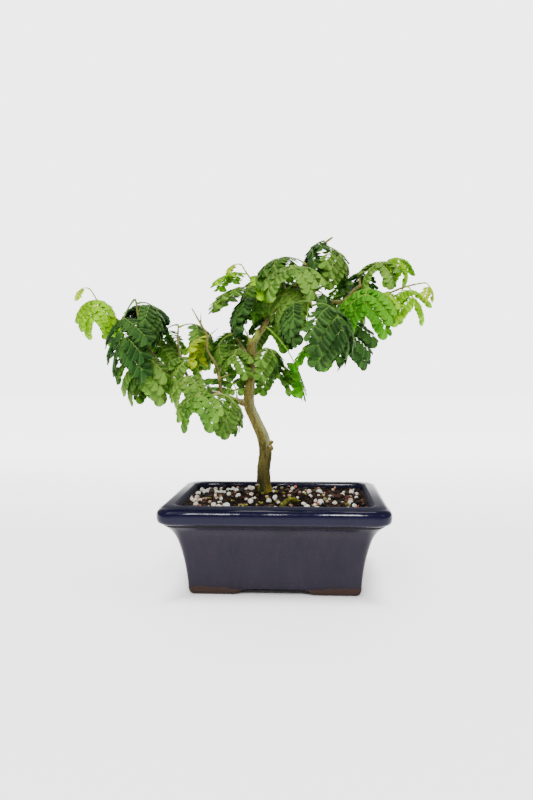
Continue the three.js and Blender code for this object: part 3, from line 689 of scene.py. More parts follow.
def add_pinna(shape, leaf, rib, share, count, hand, leaf_tint, rng):
    """Adds a pinna's rib and its pairs of leaflets."""
    places = [rib(q * share)[0] for q in np.linspace(0, RIB_END, RIB_STEPS)]
    path = [places[0] - (places[1] - places[0]) * RIB_START, *places]
    radii = np.interp(np.linspace(0, 1, len(path)), RIB_PLACES, RIB_RADIUS)
    shape.add(*tube(path, radii, RIB_SIDES), RIB_VALUES)
    step = share / (count + LEAFLET_SPARE)
    pinna_tint = TINT_SHARED * leaf_tint + (1 - TINT_SHARED) * rng.random()
    for j in range(count):
        last = j == count - 1
        place, along, across, upper = rib((j + LEAFLET_START) * step)
        growth = LEAFLET_GROWTH[j] if j < len(LEAFLET_GROWTH) else 1
        for way in (1, -1):
            angles = zip((LEAFLET_FORWARD[last], LEAFLET_FOLD, LEAFLET_ROLL), LEAFLET_CHANGES)
            forward, fold, roll = (math.radians(angle + rng.uniform(-most, most)) for angle, most in angles)
            flat = across * way * math.cos(forward) + along * math.sin(forward)
            axis = unit(flat * math.cos(fold) - upper * math.sin(fold))
            normal = upper * math.cos(fold) + across * way * math.sin(fold) * math.cos(forward)
            normal = rolled(unit(normal - axis * normal.dot(axis)), axis, roll * way * hand)
            length = leaf["half"] * growth * LEAFLET_LENGTH[last] * rng.uniform(*LENGTH_RANGE)
            width = leaf["pinna"] * step * LEAFLET_WIDTH[last] * rng.uniform(*WIDTH_RANGE)
            curl = rng.uniform(*LEAFLET_CURL)
            tint = TINT_SHARED * pinna_tint + (1 - TINT_SHARED) * rng.random()
            root = place + across * way * LEAFLET_ROOT[0] - upper * LEAFLET_ROOT[1]
            add_blade(shape, root, axis, normal, length, width, curl, way * hand, min(0.999, max(0.0, tint)))


# Node materials

class Value:
    """A number, colour or place that nodes work out, so that sums with it are written as sums."""

    def __init__(self, socket):
        self.socket = socket

    def __add__(self, other):
        return maths("ADD", self, other)

    def __sub__(self, other):
        return maths("SUBTRACT", self, other)

    def __mul__(self, other):
        return maths("MULTIPLY", self, other)

    def __truediv__(self, other):
        return maths("DIVIDE", self, other)

    def __abs__(self):
        return maths("ABSOLUTE", self)

    def parts(self):
        """The three parts of a place, direction or colour."""
        made = put(self.socket.id_data, "SeparateXYZ", {0: self})
        return [Value(socket) for socket in made.socket.node.outputs]

    def ramp(self, *stops):
        """What the stops, each with its place, give here: grey or colour, blended between two."""
        made = put(self.socket.id_data, "ValToRGB", {0: self})
        elements = made.socket.node.color_ramp.elements
        while len(elements) < len(stops):
            elements.new(0.5)
        for element, (place, colour) in zip(elements, stops):
            element.position = place
            element.color = full_colour(colour)
        return made

    def smoothly(self, near, far, low, high):
        """Goes gently from low to high as this value goes from near to far."""
        inputs = dict(enumerate((self, near, far, low, high)))
        return put(self.socket.id_data, "MapRange", inputs, interpolation_type="SMOOTHSTEP")


def full_colour(value):
    return (*value, 1) if isinstance(value, tuple) else (value, value, value, 1)


def join(socket, value):
    """Links a node's input to a value that nodes work out, or sets it."""
    if isinstance(value, Value):
        socket.id_data.links.new(value.socket, socket)
    else:
        socket.default_value = full_colour(value) if socket.type == "RGBA" else value


def put(tree, kind, inputs, output=0, **settings):
    """One output of a new node that has these settings and inputs."""
    made = tree.nodes.new("ShaderNode" + kind)
    for key, value in settings.items():
        setattr(made, key, value)
    for key, value in inputs.items():
        join(made.inputs[key], value)
    return Value(made.outputs[output])


def maths(operation, a, b=0.0):
    return put(a.socket.id_data, "Math", {0: a, 1: b}, operation=operation)


class Paint:
    """A node material in the making, with a colour that is laid on in coats."""

    def __init__(self, name):
        self.material = bpy.data.materials.new(name)
        self.material.use_nodes = True
        self.tree = self.material.node_tree
        self.shader = self.tree.nodes["Principled BSDF"]
        self.where = put(self.tree, "TexCoord", {}, "Object")

    def spot(self):
        """x, y and z in millimetres."""
        return [part / MM for part in self.where.parts()]

    def away(self, point):
        """Distance from a point of the layout, in centimetres."""
        inputs = {0: self.where, 1: (np.array(point) + SHIFT) * MM}
        return put(self.tree, "VectorMath", inputs, "Value", operation="DISTANCE") * 100

    def trait(self):
        """The three values kept at each point."""
        return put(self.tree, "Attribute", {}, "Vector", attribute_name="trait").parts()

    def facing(self):
        """The three parts of the surface's direction."""
        return put(self.tree, "NewGeometry", {}, "Normal").parts()

    def noise(self, scale, detail=4, roughness=0.55, upward=None):
        """Noise, drawn out upward where a share below 1 is given for that."""
        vector = self.where
        if upward:
            vector = put(self.tree, "Mapping", {"Vector": vector, "Scale": (1, 1, upward)})
        inputs = {"Vector": vector, "Scale": scale, "Detail": detail, "Roughness": roughness}
        return put(self.tree, "TexNoise", inputs, "Fac")

    def mix(self, share, a, b, blend="MIX"):
        return put(self.tree, "Mix", {0: share, 6: a, 7: b}, 2, data_type="RGBA", blend_type=blend)

    def coat(self, share, colour):
        self.colour = self.mix(share, self.colour, colour)

    def finish(self, roughness, specular=0.5, relief=None, strength=1, depth=0.001):
        """Joins colour, roughness and highlights to the shader, and a relief, which it returns."""
        join(self.shader.inputs["Base Color"], self.colour)
        join(self.shader.inputs["Roughness"], roughness)
        self.shader.inputs["Specular IOR Level"].default_value = specular
        if relief:
            normal = put(self.tree, "Bump", {"Height": relief, "Strength": strength, "Distance": depth})
            join(self.shader.inputs["Normal"], normal)
            return normal


# Leaf colours: shaded and lit side of the leaflets' range, the ribs, and the light let through
LEAF_TONES = {
    "dark": ((0.004, 0.022, 0.007), (0.035, 0.124, 0.020), (0.22, 0.42, 0.08), (0.07, 0.30, 0.012)),
    "green": ((0.013, 0.062, 0.010), (0.172, 0.415, 0.038), (0.46, 0.62, 0.12), (0.18, 0.56, 0.022)),
    "bright": ((0.018, 0.140, 0.002), (0.115, 0.480, 0.006), (0.40, 0.68, 0.06), (0.18, 0.82, 0.004)),
    "lime": ((0.110, 0.300, 0.0), (0.410, 0.780, 0.0), (0.60, 0.84, 0.02), (0.50, 1.0, 0.0)),
    "yellow": ((0.340, 0.480, 0.002), (0.680, 0.840, 0.006), (0.72, 0.82, 0.05), (0.78, 1.0, 0.004)),
}
# Slots that don't have the name of their tone
LEAF_SLOTS = {"yellow": "leaf_young"}
# Leaves that the photo shows lighter than the rest of their kind
LIGHTER_LEAVES = {"leaf_thorny_1": "yellow"}
VEINS = 8.0
VEIN_SLANT = 2.6
LIGHT_THROUGH = 0.36


def dimmed(colour, share):
    return tuple(share * c for c in colour)


def leaf_material(tone):
    deep, light, rib, glow = LEAF_TONES[tone]
    leaf = Paint("leaf_" + tone)
    u, v, tint = leaf.trait()
    side = abs(v)
    leaf.colour = leaf.mix(tint * 1.35 + leaf.noise(90, 3) * 0.6 - 0.50, deep, light)
    olive = tuple(0.6 * a + 0.4 * b for a, b in zip(light, rib))
    leaf.coat(leaf.noise(22, 2).ramp((0.40, 0), (0.62, 0.6)), olive)
    # Painted shade: each leaflet is darker along one margin, where the next leaflet laps over it
    leaf.coat((v * 0.5 + 0.5).ramp((0, 0.9), (0.22, 0.45), (0.5, 0)), dimmed(deep, 0.45))
    leaf.coat(side.ramp((0.8, 0), (1, 0.35)), light)
    leaf.coat(u.ramp((0, 0.3), (0.14, 0), (0.92, 0), (1, 0.12)), rib)
    leaf.coat(side.ramp((0, 0.34), (0.06, 0.2), (0.12, 0)), rib)
    veins = maths("FRACT", u * VEINS - side * VEIN_SLANT).ramp((0, 1), (0.14, 0), (0.86, 0), (1, 1))
    leaf.coat(veins * 0.13, rib)
    stem = leaf.mix(leaf.noise(300, 2), rib, dimmed(rib, 0.6))
    leaf.coat(maths("LESS_THAN", tint, -0.5), stem)
    roughness = leaf.noise(500, 2).ramp((0.3, 0.42), (0.7, 0.58))
    normal = leaf.finish(roughness, 0.08, veins * -0.5 + leaf.noise(900, 3), 0.25, 0.00015)
    glow = leaf.mix(0.35, glow, leaf.colour)
    through = put(leaf.tree, "BsdfTranslucent", {"Color": glow, "Normal": normal})
    both = put(leaf.tree, "MixShader", {0: LIGHT_THROUGH, 1: Value(leaf.shader.outputs[0]), 2: through})
    join(leaf.tree.nodes["Material Output"].inputs["Surface"], both)
    return leaf.material


def build_leaves():
    materials = {tone: leaf_material(tone) for tone in LEAF_TONES}
    for index, (twig, rows) in enumerate(LEAVES.items()):
        for number, (t, heading, lift, droop, size, tone) in enumerate(rows, 1):
            node = f"leaf_{twig}_{number}"
            leaf = find_leaf(node, twig, t, heading, lift, droop, size)
            shape = build_leaf(leaf, np.random.default_rng(1000 * index + number))
            slot = LEAF_SLOTS.get(tone, "leaf_" + tone)
            shape.piece("fine_" + node, slot, materials[LIGHTER_LEAVES.get(node, tone)], [node])


# Wood

WOOD_STEP = 1.6
WOOD_VOXEL = 0.49
WOOD_SMOOTHING = 3
TRUNK_SIDES, LIMB_SIDES = 18, 12
SPUR_STEPS = 10
LIMB_WAVES = 0.05
# Relief of the bark, as shares of the limb's radius, and pores in millimetres
RIDGES = 0.055
KNOBS = 0.05
PORES = 0.05
# Waves a millimetre of each; ridges run along the limb
RIDGE_WAVES = 0.8
RIDGE_WAVES_ALONG = 0.11
KNOB_WAVES = 0.42
PORE_WAVES = 1.5


def wood_lines():
    """Name, centre line and radii of every limb, sampled closely."""
    for name, (points, radii) in TWIGS.items():
        count = max(8, int(distances(points)[-1] / WOOD_STEP))
        path = curve_path(points, count)
        radius = radius_at(radii, np.linspace(0, 1, count))
        if name == "trunk":
            radius = radius * np.interp(path[:, 2], *zip(*TRUNK_FULLNESS))
        yield name, path, radius
    for root, tip, thick, thin in [*SPURS, *SWELLINGS]:
        yield "spur", np.linspace(root, tip, SPUR_STEPS), np.linspace(thick, thin, SPUR_STEPS)


def evaluated(obj):
    """The object's mesh with its modifiers applied."""
    graph = bpy.context.evaluated_depsgraph_get()
    return bpy.data.meshes.new_from_object(obj.evaluated_get(graph), depsgraph=graph)


def read_points(items, key):
    """Three numbers of each item of a mesh."""
    values = np.zeros(len(items) * 3, np.float32)
    items.foreach_get(key, values)
    return values.reshape(-1, 3).astype(float)


def bark_relief(p, sample):
    """How far the bark stands out at a point, by the nearest sample of its limb."""
    centre, radius, along, tangent, number = sample
    off = p - centre
    forward = off.dot(tangent)
    x, y, z = (off - tangent * forward) * RIDGE_WAVES
    ridges = noise.noise(Vector((x + number, y, (along + forward) * RIDGE_WAVES_ALONG + z)))
    knobs, pores = (noise.noise(Vector(p * waves)) for waves in (KNOB_WAVES, PORE_WAVES))
    return radius * (RIDGES * ridges + KNOBS * knobs) + PORES * pores


def build_wood(material):
    rough = Shape()
    samples = []
    for number, (name, path, radius) in enumerate(wood_lines()):
        if name == "trunk":
            rough.add(*tube(path, radius, TRUNK_SIDES))
        else:
            waves = 1 + LIMB_WAVES * np.sin(np.arange(len(path)) * 1.1 + number)
            rough.add(*tube(path, radius * waves, LIMB_SIDES))
        tangents = [unit(tangent) for tangent in np.gradient(path, axis=0)]
        samples += [(*sample, number) for sample in zip(path, radius, distances(path), tangents)]
    obj = rough.build("wood_rough")
    remesh = obj.modifiers.new("remesh", "REMESH")
    remesh.mode = "VOXEL"
    remesh.voxel_size = WOOD_VOXEL
    smooth = obj.modifiers.new("smooth", "SMOOTH")
    smooth.factor = 0.5
    smooth.iterations = WOOD_SMOOTHING
    mesh = evaluated(obj)
    bpy.data.objects.remove(obj)
    tree = kdtree.KDTree(len(samples))
    for k, sample in enumerate(samples):
        tree.insert(sample[0], k)
    tree.balance()
    points = read_points(mesh.vertices, "co")
    nearest = [samples[tree.find(p)[1]] for p in points]
    moved = np.array([bark_relief(p, sample) for p, sample in zip(points, nearest)])
    girth = np.array([sample[1] for sample in nearest])
    loops = np.zeros(len(mesh.loops), np.int32)
    mesh.loops.foreach_get("vertex_index", loops)
    wood = Shape()
    points += read_points(mesh.vertex_normals, "vector") * moved[:, None]
    wood.add(points, [loops.reshape(-1, 4)], girth[:, None])
    bpy.data.meshes.remove(mesh)
    wood.piece("fine_trunk_and_branches", "bark", material, ["trunk_and_branches"])


# The spurs that were cut off come first
PRUNED_STUBS = 2
# Radius and height, in millimetres, that shares of girth and height are taken of
WHOLE_GIRTH = 10
WHOLE_HEIGHT = 250
DECIMETRE = 100


def bark_material():
    bark = Paint("bark")
    girth = bark.trait()[0] / WHOLE_GIRTH
    z = bark.spot()[2]
    height = z / WHOLE_HEIGHT
    east, _, upward = bark.facing()
    patches = bark.noise(210, 5, 0.6, upward=0.28)
    fine = bark.noise(900, 4, 0.7)
    bark.colour = bark.mix(patches.ramp((0.35, 0), (0.65, 1)), (0.044, 0.034, 0.004), (0.170, 0.142, 0.022))
    bark.coat(bark.noise(1400, 2).ramp((0.58, 0), (0.68, 0.45)), (0.42, 0.37, 0.17))
    pits = bark.noise(650, 3).ramp((0.30, 1), (0.42, 0))
    bark.coat(pits * 0.65, (0.030, 0.021, 0.010))
    lit = east.ramp((0.1, 0), (0.8, 0.7)) * height.ramp((0.47, 0), (0.53, 1), (0.64, 1), (0.70, 0.35))
    bark.coat(lit, bark.mix(fine, (0.18, 0.20, 0.08), (0.44, 0.46, 0.24)))
    low_dark = height.ramp((0.33, 0.92), (0.42, 0.55), (0.52, 0))
    bark.coat(low_dark, bark.mix(patches, (0.010, 0.010, 0.003), (0.055, 0.045, 0.016)))
    furrows = bark.noise(380, 3, upward=0.12).ramp((0.38, 0.8), (0.50, 0))
    furrows = furrows * height.ramp((0.3, 1), (0.50, 0.8), (0.62, 0.25))
    bark.coat(furrows, (0.020, 0.015, 0.006))
    # Pale grey bark patches, partly a painted highlight: the upper faces of the thinner limbs are made
    # lighter
    pale_patches_and_top_highlight = (upward + patches * 0.5).ramp((0.62, 0), (0.98, 1))
    limb = girth.ramp((0.20, 1), (0.36, 0)) * height.ramp((0.72, 0.85), (0.82, 0.2))
    bark.coat(pale_patches_and_top_highlight * limb, (0.66, 0.60, 0.48))
    bark.coat(girth.ramp((0.08, 0.75), (0.16, 0)), (0.21, 0.20, 0.045))
    moss = ((z - patches * 30) / DECIMETRE).ramp((0.66, 0.9), (0.86, 0))
    sunny = east.ramp((0, 0), (0.7, 1)) * fine
    bark.coat(moss, bark.mix(sunny, (0.010, 0.012, 0.003), (0.38, 0.30, 0.015)))
    cut = bark.mix(fine, (0.08, 0.040, 0.010), (0.27, 0.18, 0.045))
    for _, tip, _, _ in SPURS[:PRUNED_STUBS]:
        bark.coat(bark.away(tip).ramp((0.16, 0.85), (0.32, 0)), cut)
    healed = bark.mix(patches, (0.13, 0.22, 0.02), (0.42, 0.46, 0.08))
    bark.coat(bark.away(GREEN_TIP).ramp((0.45, 0.8), (0.8, 0)), healed)
    relief = patches * 0.9 + fine * 0.5 - pits * 0.5
    bark.finish(fine.ramp((0.3, 0.62), (0.7, 0.85)), 0.12, relief, 0.6, 0.0005)
    return bark.material


# Pot

POT_ARC = 12
POT_SIDE = 10
PROFILE_STEPS = 3
POCKET_HALF = OUTER_WALL[2][1] - FOOT_BAND
DRAIN_SIDES = 32
RECESS_STEPS = 9
# How far cutting shapes go past the face that they cut
PAST_FACE = 2
# Angle between faces, in degrees, from which the edge looks sharp
SHARP_EDGE = 38
# Height and waves a millimetre of the pot's unevenness
SWAYS = [(0.28, 0.018), (0.06, 0.11)]


def corner_radius(z, half):
    corner = BASE_CORNER + (RIM_CORNER - BASE_CORNER) * z / POT_HEIGHT
    return max(LEAST_CORNER, corner + (half - RIM_HALF_LENGTH) * CORNER_SHRINK)


def rounded_ring(half, z, corner=None, arc=POT_ARC, side=POT_SIDE):
    """Rounded rectangle with evenly stepped corners and sides, anticlockwise."""
    corner = corner or corner_radius(z, half)
    a, b = half - corner, half - DEPTH_INSET - corner
    centres = [(a, b), (-a, b), (-a, -b), (a, -b)]
    after = [(-a, b + corner), (-a - corner, -b), (a, -b - corner), (a + corner, b)]
    ring = []
    for quarter, ((cx, cy), (nx, ny)) in enumerate(zip(centres, after)):
        for i in range(arc + 1):
            angle = (quarter + i / arc) * math.pi / 2
            ring.append((cx + corner * math.cos(angle), cy + corner * math.sin(angle), z))
        x, y, _ = ring[-1]
        ring += [(x + (nx - x) * i / side, y + (ny - y) * i / side, z) for i in range(1, side)]
    return np.array(ring, float)


def solid(name, rings):
    """A closed scratch object through the rings, with its faces turned outward."""
    count, around = len(rings), len(rings[0])
    ends = np.arange(around)[None]
    shape = Shape()
    shape.add(np.concatenate(rings), [loft_faces(count, around), ends[:, ::-1], ends + (count - 1) * around])
    obj = shape.build(name)
    made = bmesh.new()
    made.from_mesh(obj.data)
    bmesh.ops.recalc_face_normals(made, faces=made.faces)
    made.to_mesh(obj.data)
    made.free()
    return obj


def recess_rings(recess, turned):
    """The curved recess between two feet, along the pot or turned across it."""
    foot, crown = recess
    xs = np.linspace(0, 1, RECESS_STEPS)
    rise = FOOT_HEIGHT * (3 * xs ** 2 - 2 * xs ** 3)
    right = [(foot - (foot - crown) * x, z) for x, z in zip(xs, rise)]
    outline = [(foot + 0.5, -PAST_FACE), *right]
    outline += [(-x, z) for x, z in reversed(outline)]
    reach = 2 * RIM_HALF_LENGTH
    return [np.array([(-y, x, z) if turned else (x, y, z) for x, z in outline]) for y in (-reach, reach)]


def drain_rings(side):
    angles = 2 * np.pi * np.arange(DRAIN_SIDES) / DRAIN_SIDES
    ring = np.stack([np.cos(angles), np.sin(angles), 0 * angles], -1) * DRAIN_HOLE_RADIUS
    return [ring + np.array([side * DRAIN_HOLE_X, 0, z]) for z in (-PAST_FACE, FLOOR_TOP + PAST_FACE)]


def build_pot(material):
    profile = [*OUTER_WALL, *RIM_WALL, *INNER_WALL]
    profile = curve_path([(half, 0, z) for z, half in profile], PROFILE_STEPS * (len(profile) - 1) + 1)
    body = solid("pot_body", [rounded_ring(half, z) for half, _, z in profile])
    pocket = [rounded_ring(POCKET_HALF, z, POCKET_CORNER, 6, 3) for z in (-PAST_FACE, FOOT_HEIGHT)]
    cutters = [
        solid("pocket", pocket),
        solid("front_recess", recess_rings(FRONT_RECESS, False)),
        solid("side_recess", recess_rings(SIDE_RECESS, True)),
        *(solid("drain", drain_rings(side)) for side in (-1, 1)),
    ]
    for tool in cutters:
        cut = body.modifiers.new("cut", "BOOLEAN")
        cut.operation = "DIFFERENCE"
        cut.solver = "EXACT"
        cut.object = tool
    mesh = evaluated(body)
    for obj in [body, *cutters]:
        bpy.data.objects.remove(obj)
    shaped = bmesh.new()
    shaped.from_mesh(mesh)
    bmesh.ops.remove_doubles(shaped, verts=shaped.verts, dist=0.01)
    bmesh.ops.triangulate(shaped, faces=[f for f in shaped.faces if len(f.verts) > 4])
    for face in shaped.faces:
        face.smooth = True
    for edge in shaped.edges:
        if len(edge.link_faces) == 2 and edge.calc_face_angle(0) > math.radians(SHARP_EDGE):
            edge.smooth = False
    for vertex in shaped.verts:
        p = vertex.co
        if p.z > 1:
            sway = sum(most * noise.noise(p * waves) for most, waves in SWAYS)
            vertex.co = p + Vector((p.x, p.y, 0)).normalized() * sway
        vertex.co = (vertex.co + Vector(SHIFT)) * MM
    shaped.to_mesh(mesh)
    shaped.free()
    finish_piece(scene_object("fine_pot", mesh), material, ["pot"])


def glaze_material():
    glaze = Paint("pot_glaze")
    x, y, z = glaze.spot()
    height = z / DECIMETRE
    outward = abs(x - SHIFT[0]) / DECIMETRE
    side, _, top = glaze.facing()
    clouds = glaze.noise(26)
    streaks = glaze.noise(190, upward=0.12)
    grit = glaze.noise(1100, 4, 0.7)
    glaze.colour = glaze.mix(clouds.ramp((0.3, 0), (0.7, 1)), (0.005, 0.003, 0.009), (0.009, 0.006, 0.015))
    glaze.coat(streaks.ramp((0.42, 0), (0.75, 0.35)), (0.018, 0.012, 0.022))
    rim = glaze.mix(clouds, (0.0025, 0.0025, 0.012), (0.005, 0.004, 0.022))
    glaze.coat(height.ramp((0.665, 0), (0.70, 1)), rim)
    glaze.coat(glaze.noise(900, 2).ramp((0.66, 0), (0.74, 0.16)), (0.10, 0.09, 0.12))
    # Painted shade: the groove under the rim is made near black and rough
    groove_shade = height.ramp((0.636, 0), (0.644, 0.9), (0.656, 0.9), (0.664, 0))
    glaze.coat(groove_shade, (0.001, 0.001, 0.002))
    rise = outward.ramp((0.18, 0), (0.45, 1))
    glaze_line = z - glaze.noise(60, 3) * 5 - rise * 4 + 4
    bare = (glaze_line / 20).ramp((0.215, 1), (0.255, 0))
    glaze.coat(bare, glaze.mix(grit, (0.010, 0.006, 0.005), (0.050, 0.026, 0.019)))
    roughness = glaze.mix(height.ramp((0.66, 0), (0.70, 0.6)), streaks * 0.10 + 0.10, 0.04)
    roughness = glaze.mix(groove_shade, roughness, 0.8)
    rim_top = (y / DECIMETRE / 2 + 0.5).ramp((0.16, 0.80), (0.42, 0.62), (0.72, 0.32))
    roughness = glaze.mix(top.ramp((0.86, 0), (0.97, 1)), roughness, rim_top)
    inner = outward.ramp((0.845, 0), (0.86, 1), (0.905, 1), (0.92, 0))
    inner = inner * abs(side).ramp((0.25, 0), (0.4, 1)) * height.ramp((0.74, 0), (0.76, 1))
    roughness = glaze.mix(inner, roughness, 0.85)
    glaze.shader.inputs["IOR"].default_value = 1.27
    relief = clouds + streaks * 0.25 + grit * bare * 0.4 - bare * 0.6
    glaze.finish(glaze.mix(bare, roughness, 0.82), relief=relief, strength=0.35, depth=0.0006)
    return glaze.material


# Soil

SOIL_AROUND = 360
SOIL_STEPS = 58
SETTLED = 0.9
# Height and half length of the soil's rings below its brim, which is a little inside the pot
SOIL_WALL = [(FLOOR_TOP + 0.6, 63.0), (FLOOR_TOP + 3, 67.6), (40, 75.2), (66, 84.2)]
BRIM_GAP = 0.3
# Height and waves a millimetre of the crumbs, and of the finer grain on them
CRUMB_WAVES = [(0.9, 0.34), (0.8, 0.8)]
GRAIN_HEIGHT, GRAIN_WAVES = 0.35, 1.9
CRUMB_SEED = 3.7


def soil_height(x, y, edge=0.0):
    length, width, steepness = SOIL_MOUND
    reach = np.hypot((x - TRUNK_FOOT[0]) / length, (y - TRUNK_FOOT[1]) / width)
    mound = (SOIL_CROWN - SOIL_EDGE) * np.exp(-reach ** 2 * steepness)
    lumps = sum(LUMP_HEIGHT * np.sin(x * a + y * b + c) for a, b, c in LUMP_WAVES)
    return SOIL_EDGE + mound + lumps * (1 - edge) - SETTLED


def crumb(x, y):
    """Fine relief of the soil's crumbs."""
    p = Vector((x, y, CRUMB_SEED))
    crumbs = sum(height * abs(noise.noise(p * waves)) for height, waves in CRUMB_WAVES)
    return crumbs + GRAIN_HEIGHT * noise.noise(p * GRAIN_WAVES)


def even_ring(half, z):
    """Rounded rectangle as evenly spaced points."""
    ring = rounded_ring(half, z, arc=10, side=20)
    loop = np.vstack([ring, ring[:1]])
    run = distances(loop)
    at = np.linspace(0, run[-1], SOIL_AROUND, endpoint=False)
    return np.stack([np.interp(at, run, loop[:, k]) for k in range(3)], -1)


def build_soil(material):
    rings = [even_ring(half, z) for z, half in SOIL_WALL]
    brim = even_ring(SOIL_BRIM - BRIM_GAP, SOIL_EDGE)
    for k in range(SOIL_STEPS + 1):
        x, y = brim[:, :2].T * (1 - k / (SOIL_STEPS + 0.5))
        edge = max(0.0, 1 - k / 2)
        relief = np.array([crumb(*spot) for spot in zip(x, y)]) * (1 - 0.6 * edge) - 0.4
        rings.append(np.stack([x, y, soil_height(x, y, edge) + relief], -1))
    shape = Shape()
    shape.add(*capped(rings, rings[0].mean(0), rings[-1].mean(0)))
    shape.piece("fine_soil", "soil", material, ["soil"])


def soil_material():
    soil = Paint("soil")
    crumbs = put(soil.tree, "TexVoronoi", {"Vector": soil.where, "Scale": 520.0}, "Color")
    darkest, brown = (0.001, 0.001, 0.001), (0.07, 0.034, 0.016)
    tones = [(0, darkest), (0.5, (0.004, 0.002, 0.0015)), (0.8, (0.020, 0.009, 0.004)), (1, brown)]
    soil.colour = crumbs.parts()[0].ramp(*tones)
    soil.coat(soil.noise(60, 3).ramp((0.45, 0), (0.62, 0.55)), (0.040, 0.014, 0.008))
    edges = Value(crumbs.socket.node.outputs["Distance"])
    soil.finish(0.9, 0.1, edges + soil.noise(1500), 0.9, 0.0012)
    return soil.material


# Grit, chips and moss on the soil

def ball(level):
    made = bmesh.new()
    bmesh.ops.create_icosphere(made, subdivisions=level, radius=1)
    points = np.array([v.co[:] for v in made.verts])
    faces = np.array([[v.index for v in f.verts] for f in made.faces])
    made.free()
    return points, faces


BALLS = {level: ball(level) for level in (1, 2, 3)}
LUMP_TO_WALL = 3.5
LUMP_TO_TRUNK = 8


def lump(level, size, roughness, seed, rng, boxy=0.0):
    """A rounded stone: a ball stretched, flattened in places and roughened."""
    points, faces = BALLS[level]
    if boxy:
        points = np.sign(points) * np.abs(points) ** (1 - boxy)
    shift = Vector((seed * 1.7, seed * 0.9, seed * 2.3))
    relief = np.array([noise.noise(Vector(p) * 0.9 + shift) + 0.45 * noise.noise(Vector(p) * 2.4 + shift)
                       for p in points])
    points = points * (1 + roughness * relief)[:, None] * size
    turn = Matrix.Rotation(rng.uniform(0, 2 * math.pi), 3, "Z")
    tilt = Matrix.Rotation(rng.uniform(-0.5, 0.5), 3, "X")
    return points @ np.array(turn @ tilt).T, faces


def add_lump(shape, made, spot, rng):
    """Adds a lump with a tint, the first of two drawn values."""
    points, faces = made
    shape.add(points + spot, [faces], (*rng.random(2), 0))


def clear_of_trunk(x, y, gap):
    return math.hypot(x - TRUNK_FOOT[0], y - TRUNK_FOOT[1]) > gap


def free_spot(rng):
    """A spot on the soil, away from the wall and the trunk."""
    while True:
        x = (SOIL_BRIM - LUMP_TO_WALL) * rng.uniform(-1, 1)
        y = (SOIL_BRIM - DEPTH_INSET - LUMP_TO_WALL) * rng.uniform(-1, 1)
        if clear_of_trunk(x, y, LUMP_TO_TRUNK):
            return x, y


def stone_spots():
    """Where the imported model's stones lie, and the radius of each."""
    half = SOIL_BRIM - STONE_TO_WALL
    small, large = STONE_RADIUS
    for k in range(STONES):
        for attempt in range(STONE_TRIES):
            x = half * (2 * draw(STONE_SEEDS["x"] + attempt, k) - 1)
            y = (half - DEPTH_INSET) * (2 * draw(STONE_SEEDS["y"] + attempt, k) - 1)
            if clear_of_trunk(x, y, STONE_TO_TRUNK):
                break
        yield x, y, small + (large - small) * draw(STONE_SEEDS["size"], k) ** 2


def spread_lumps(name, count, rng, level, sizes, roughness, material, sink, boxy=0.0, flat=1.0, spots=()):
    """Lumps at the spots given and at so many drawn ones, as one piece."""
    shape = Shape()
    for k in range(len(spots) + count):
        x, y, radius = spots[k] if k < len(spots) else (*free_spot(rng), rng.uniform(*sizes))
        size = radius * rng.uniform(0.75, 1.2, 3)
        size[2] *= flat
        spot = np.array([x, y, soil_height(x, y) + size[2] * sink])
        add_lump(shape, lump(level, size, roughness, k, rng, boxy), spot, rng)
    shape.piece(name, "soil", material)


def stone_material(name, tones, roughness, marks, marked, scale=900):
    """Stones of many tones, clouded and marked."""
    stone = Paint(name)
    clouds = stone.noise(scale * 0.35).ramp((0.3, 0.62), (0.7, 1))
    stone.colour = stone.mix(1.0, stone.trait()[0].ramp(*tones), clouds, "MULTIPLY")
    stone.coat(stone.noise(scale, 3).ramp((0.56, 0), (0.66, marked)), marks)
    stone.finish(roughness, 0.15, stone.noise(scale * 1.4), 0.6, 0.0004)
    return stone.material


# Tones of the small things on the soil, each with its place in the range
PERLITE = [(0, (0.80, 0.66, 0.50)), (0.25, (0.90, 0.89, 0.86)), (0.5, (0.72, 0.75, 0.66)),
           (0.75, (0.92, 0.88, 0.74)), (1, (0.74, 0.52, 0.42))]
PEBBLES = [(0, (0.26, 0.13, 0.08)), (0.3, (0.42, 0.24, 0.16)), (0.55, (0.60, 0.42, 0.30)),
           (0.8, (0.50, 0.10, 0.03)), (1, (0.34, 0.33, 0.12))]
CRUMBS = [(0, (0.001, 0.001, 0.001)), (0.55, (0.005, 0.003, 0.002)), (0.85, (0.026, 0.012, 0.007)),
          (1, (0.14, 0.08, 0.04))]
RED_BARK = [(0, (0.030, 0.009, 0.005)), (0.5, (0.07, 0.022, 0.012)), (1, (0.14, 0.050, 0.026))]
MOSS = [(0, (0.085, 0.080, 0.010)), (0.5, (0.23, 0.23, 0.02)), (1, (0.52, 0.48, 0.10))]
GRIT_SHARE = 0.6
# Larger white stones: place on the soil and radius
LARGE_STONES = [
    (-79, 19, 2.8), (-78, 36, 2.4), (-73, 23, 2.4), (-63, 28, 2.5), (-59, 15, 2.1), (-56, 19, 2.1),
    (-49, 23, 2.7), (-45, 28, 2.8), (-41, 20, 2.4), (-30, 38, 2.8), (-26, 24, 2.5), (-36, -8, 2.5),
    (-24, -5, 2.3), (-80, -12, 2.5), (-76, -6, 2.5), (-71, -18, 2.3), (-72, -35, 2.3), (-61, -54, 2.1),
    (-55, -41, 2.3), (-50, -45, 2.5), (-55, -52, 2.1), (-43, -43, 3), (-38, -54, 2.5), (-47, -55, 2.1),
    (-78, -53, 1.6), (-68, -56, 1.7), (-1, -19, 2.7), (-6, -25, 2.3), (-5, 45, 2.2), (14, 36, 2.3),
    (26, -36, 2.5), (29, -45, 2.4), (31, 19, 2.5), (26, 16, 2.1), (41, 29, 3.3), (41, -31, 3.2),
    (36, -37, 2.1), (38, -53, 2.7), (54, -26, 1.9), (63, 19, 2.3), (62, -22, 1.8), (71, -39, 2.3),
    (65, -52, 2.8), (79, -51, 2.4),
]
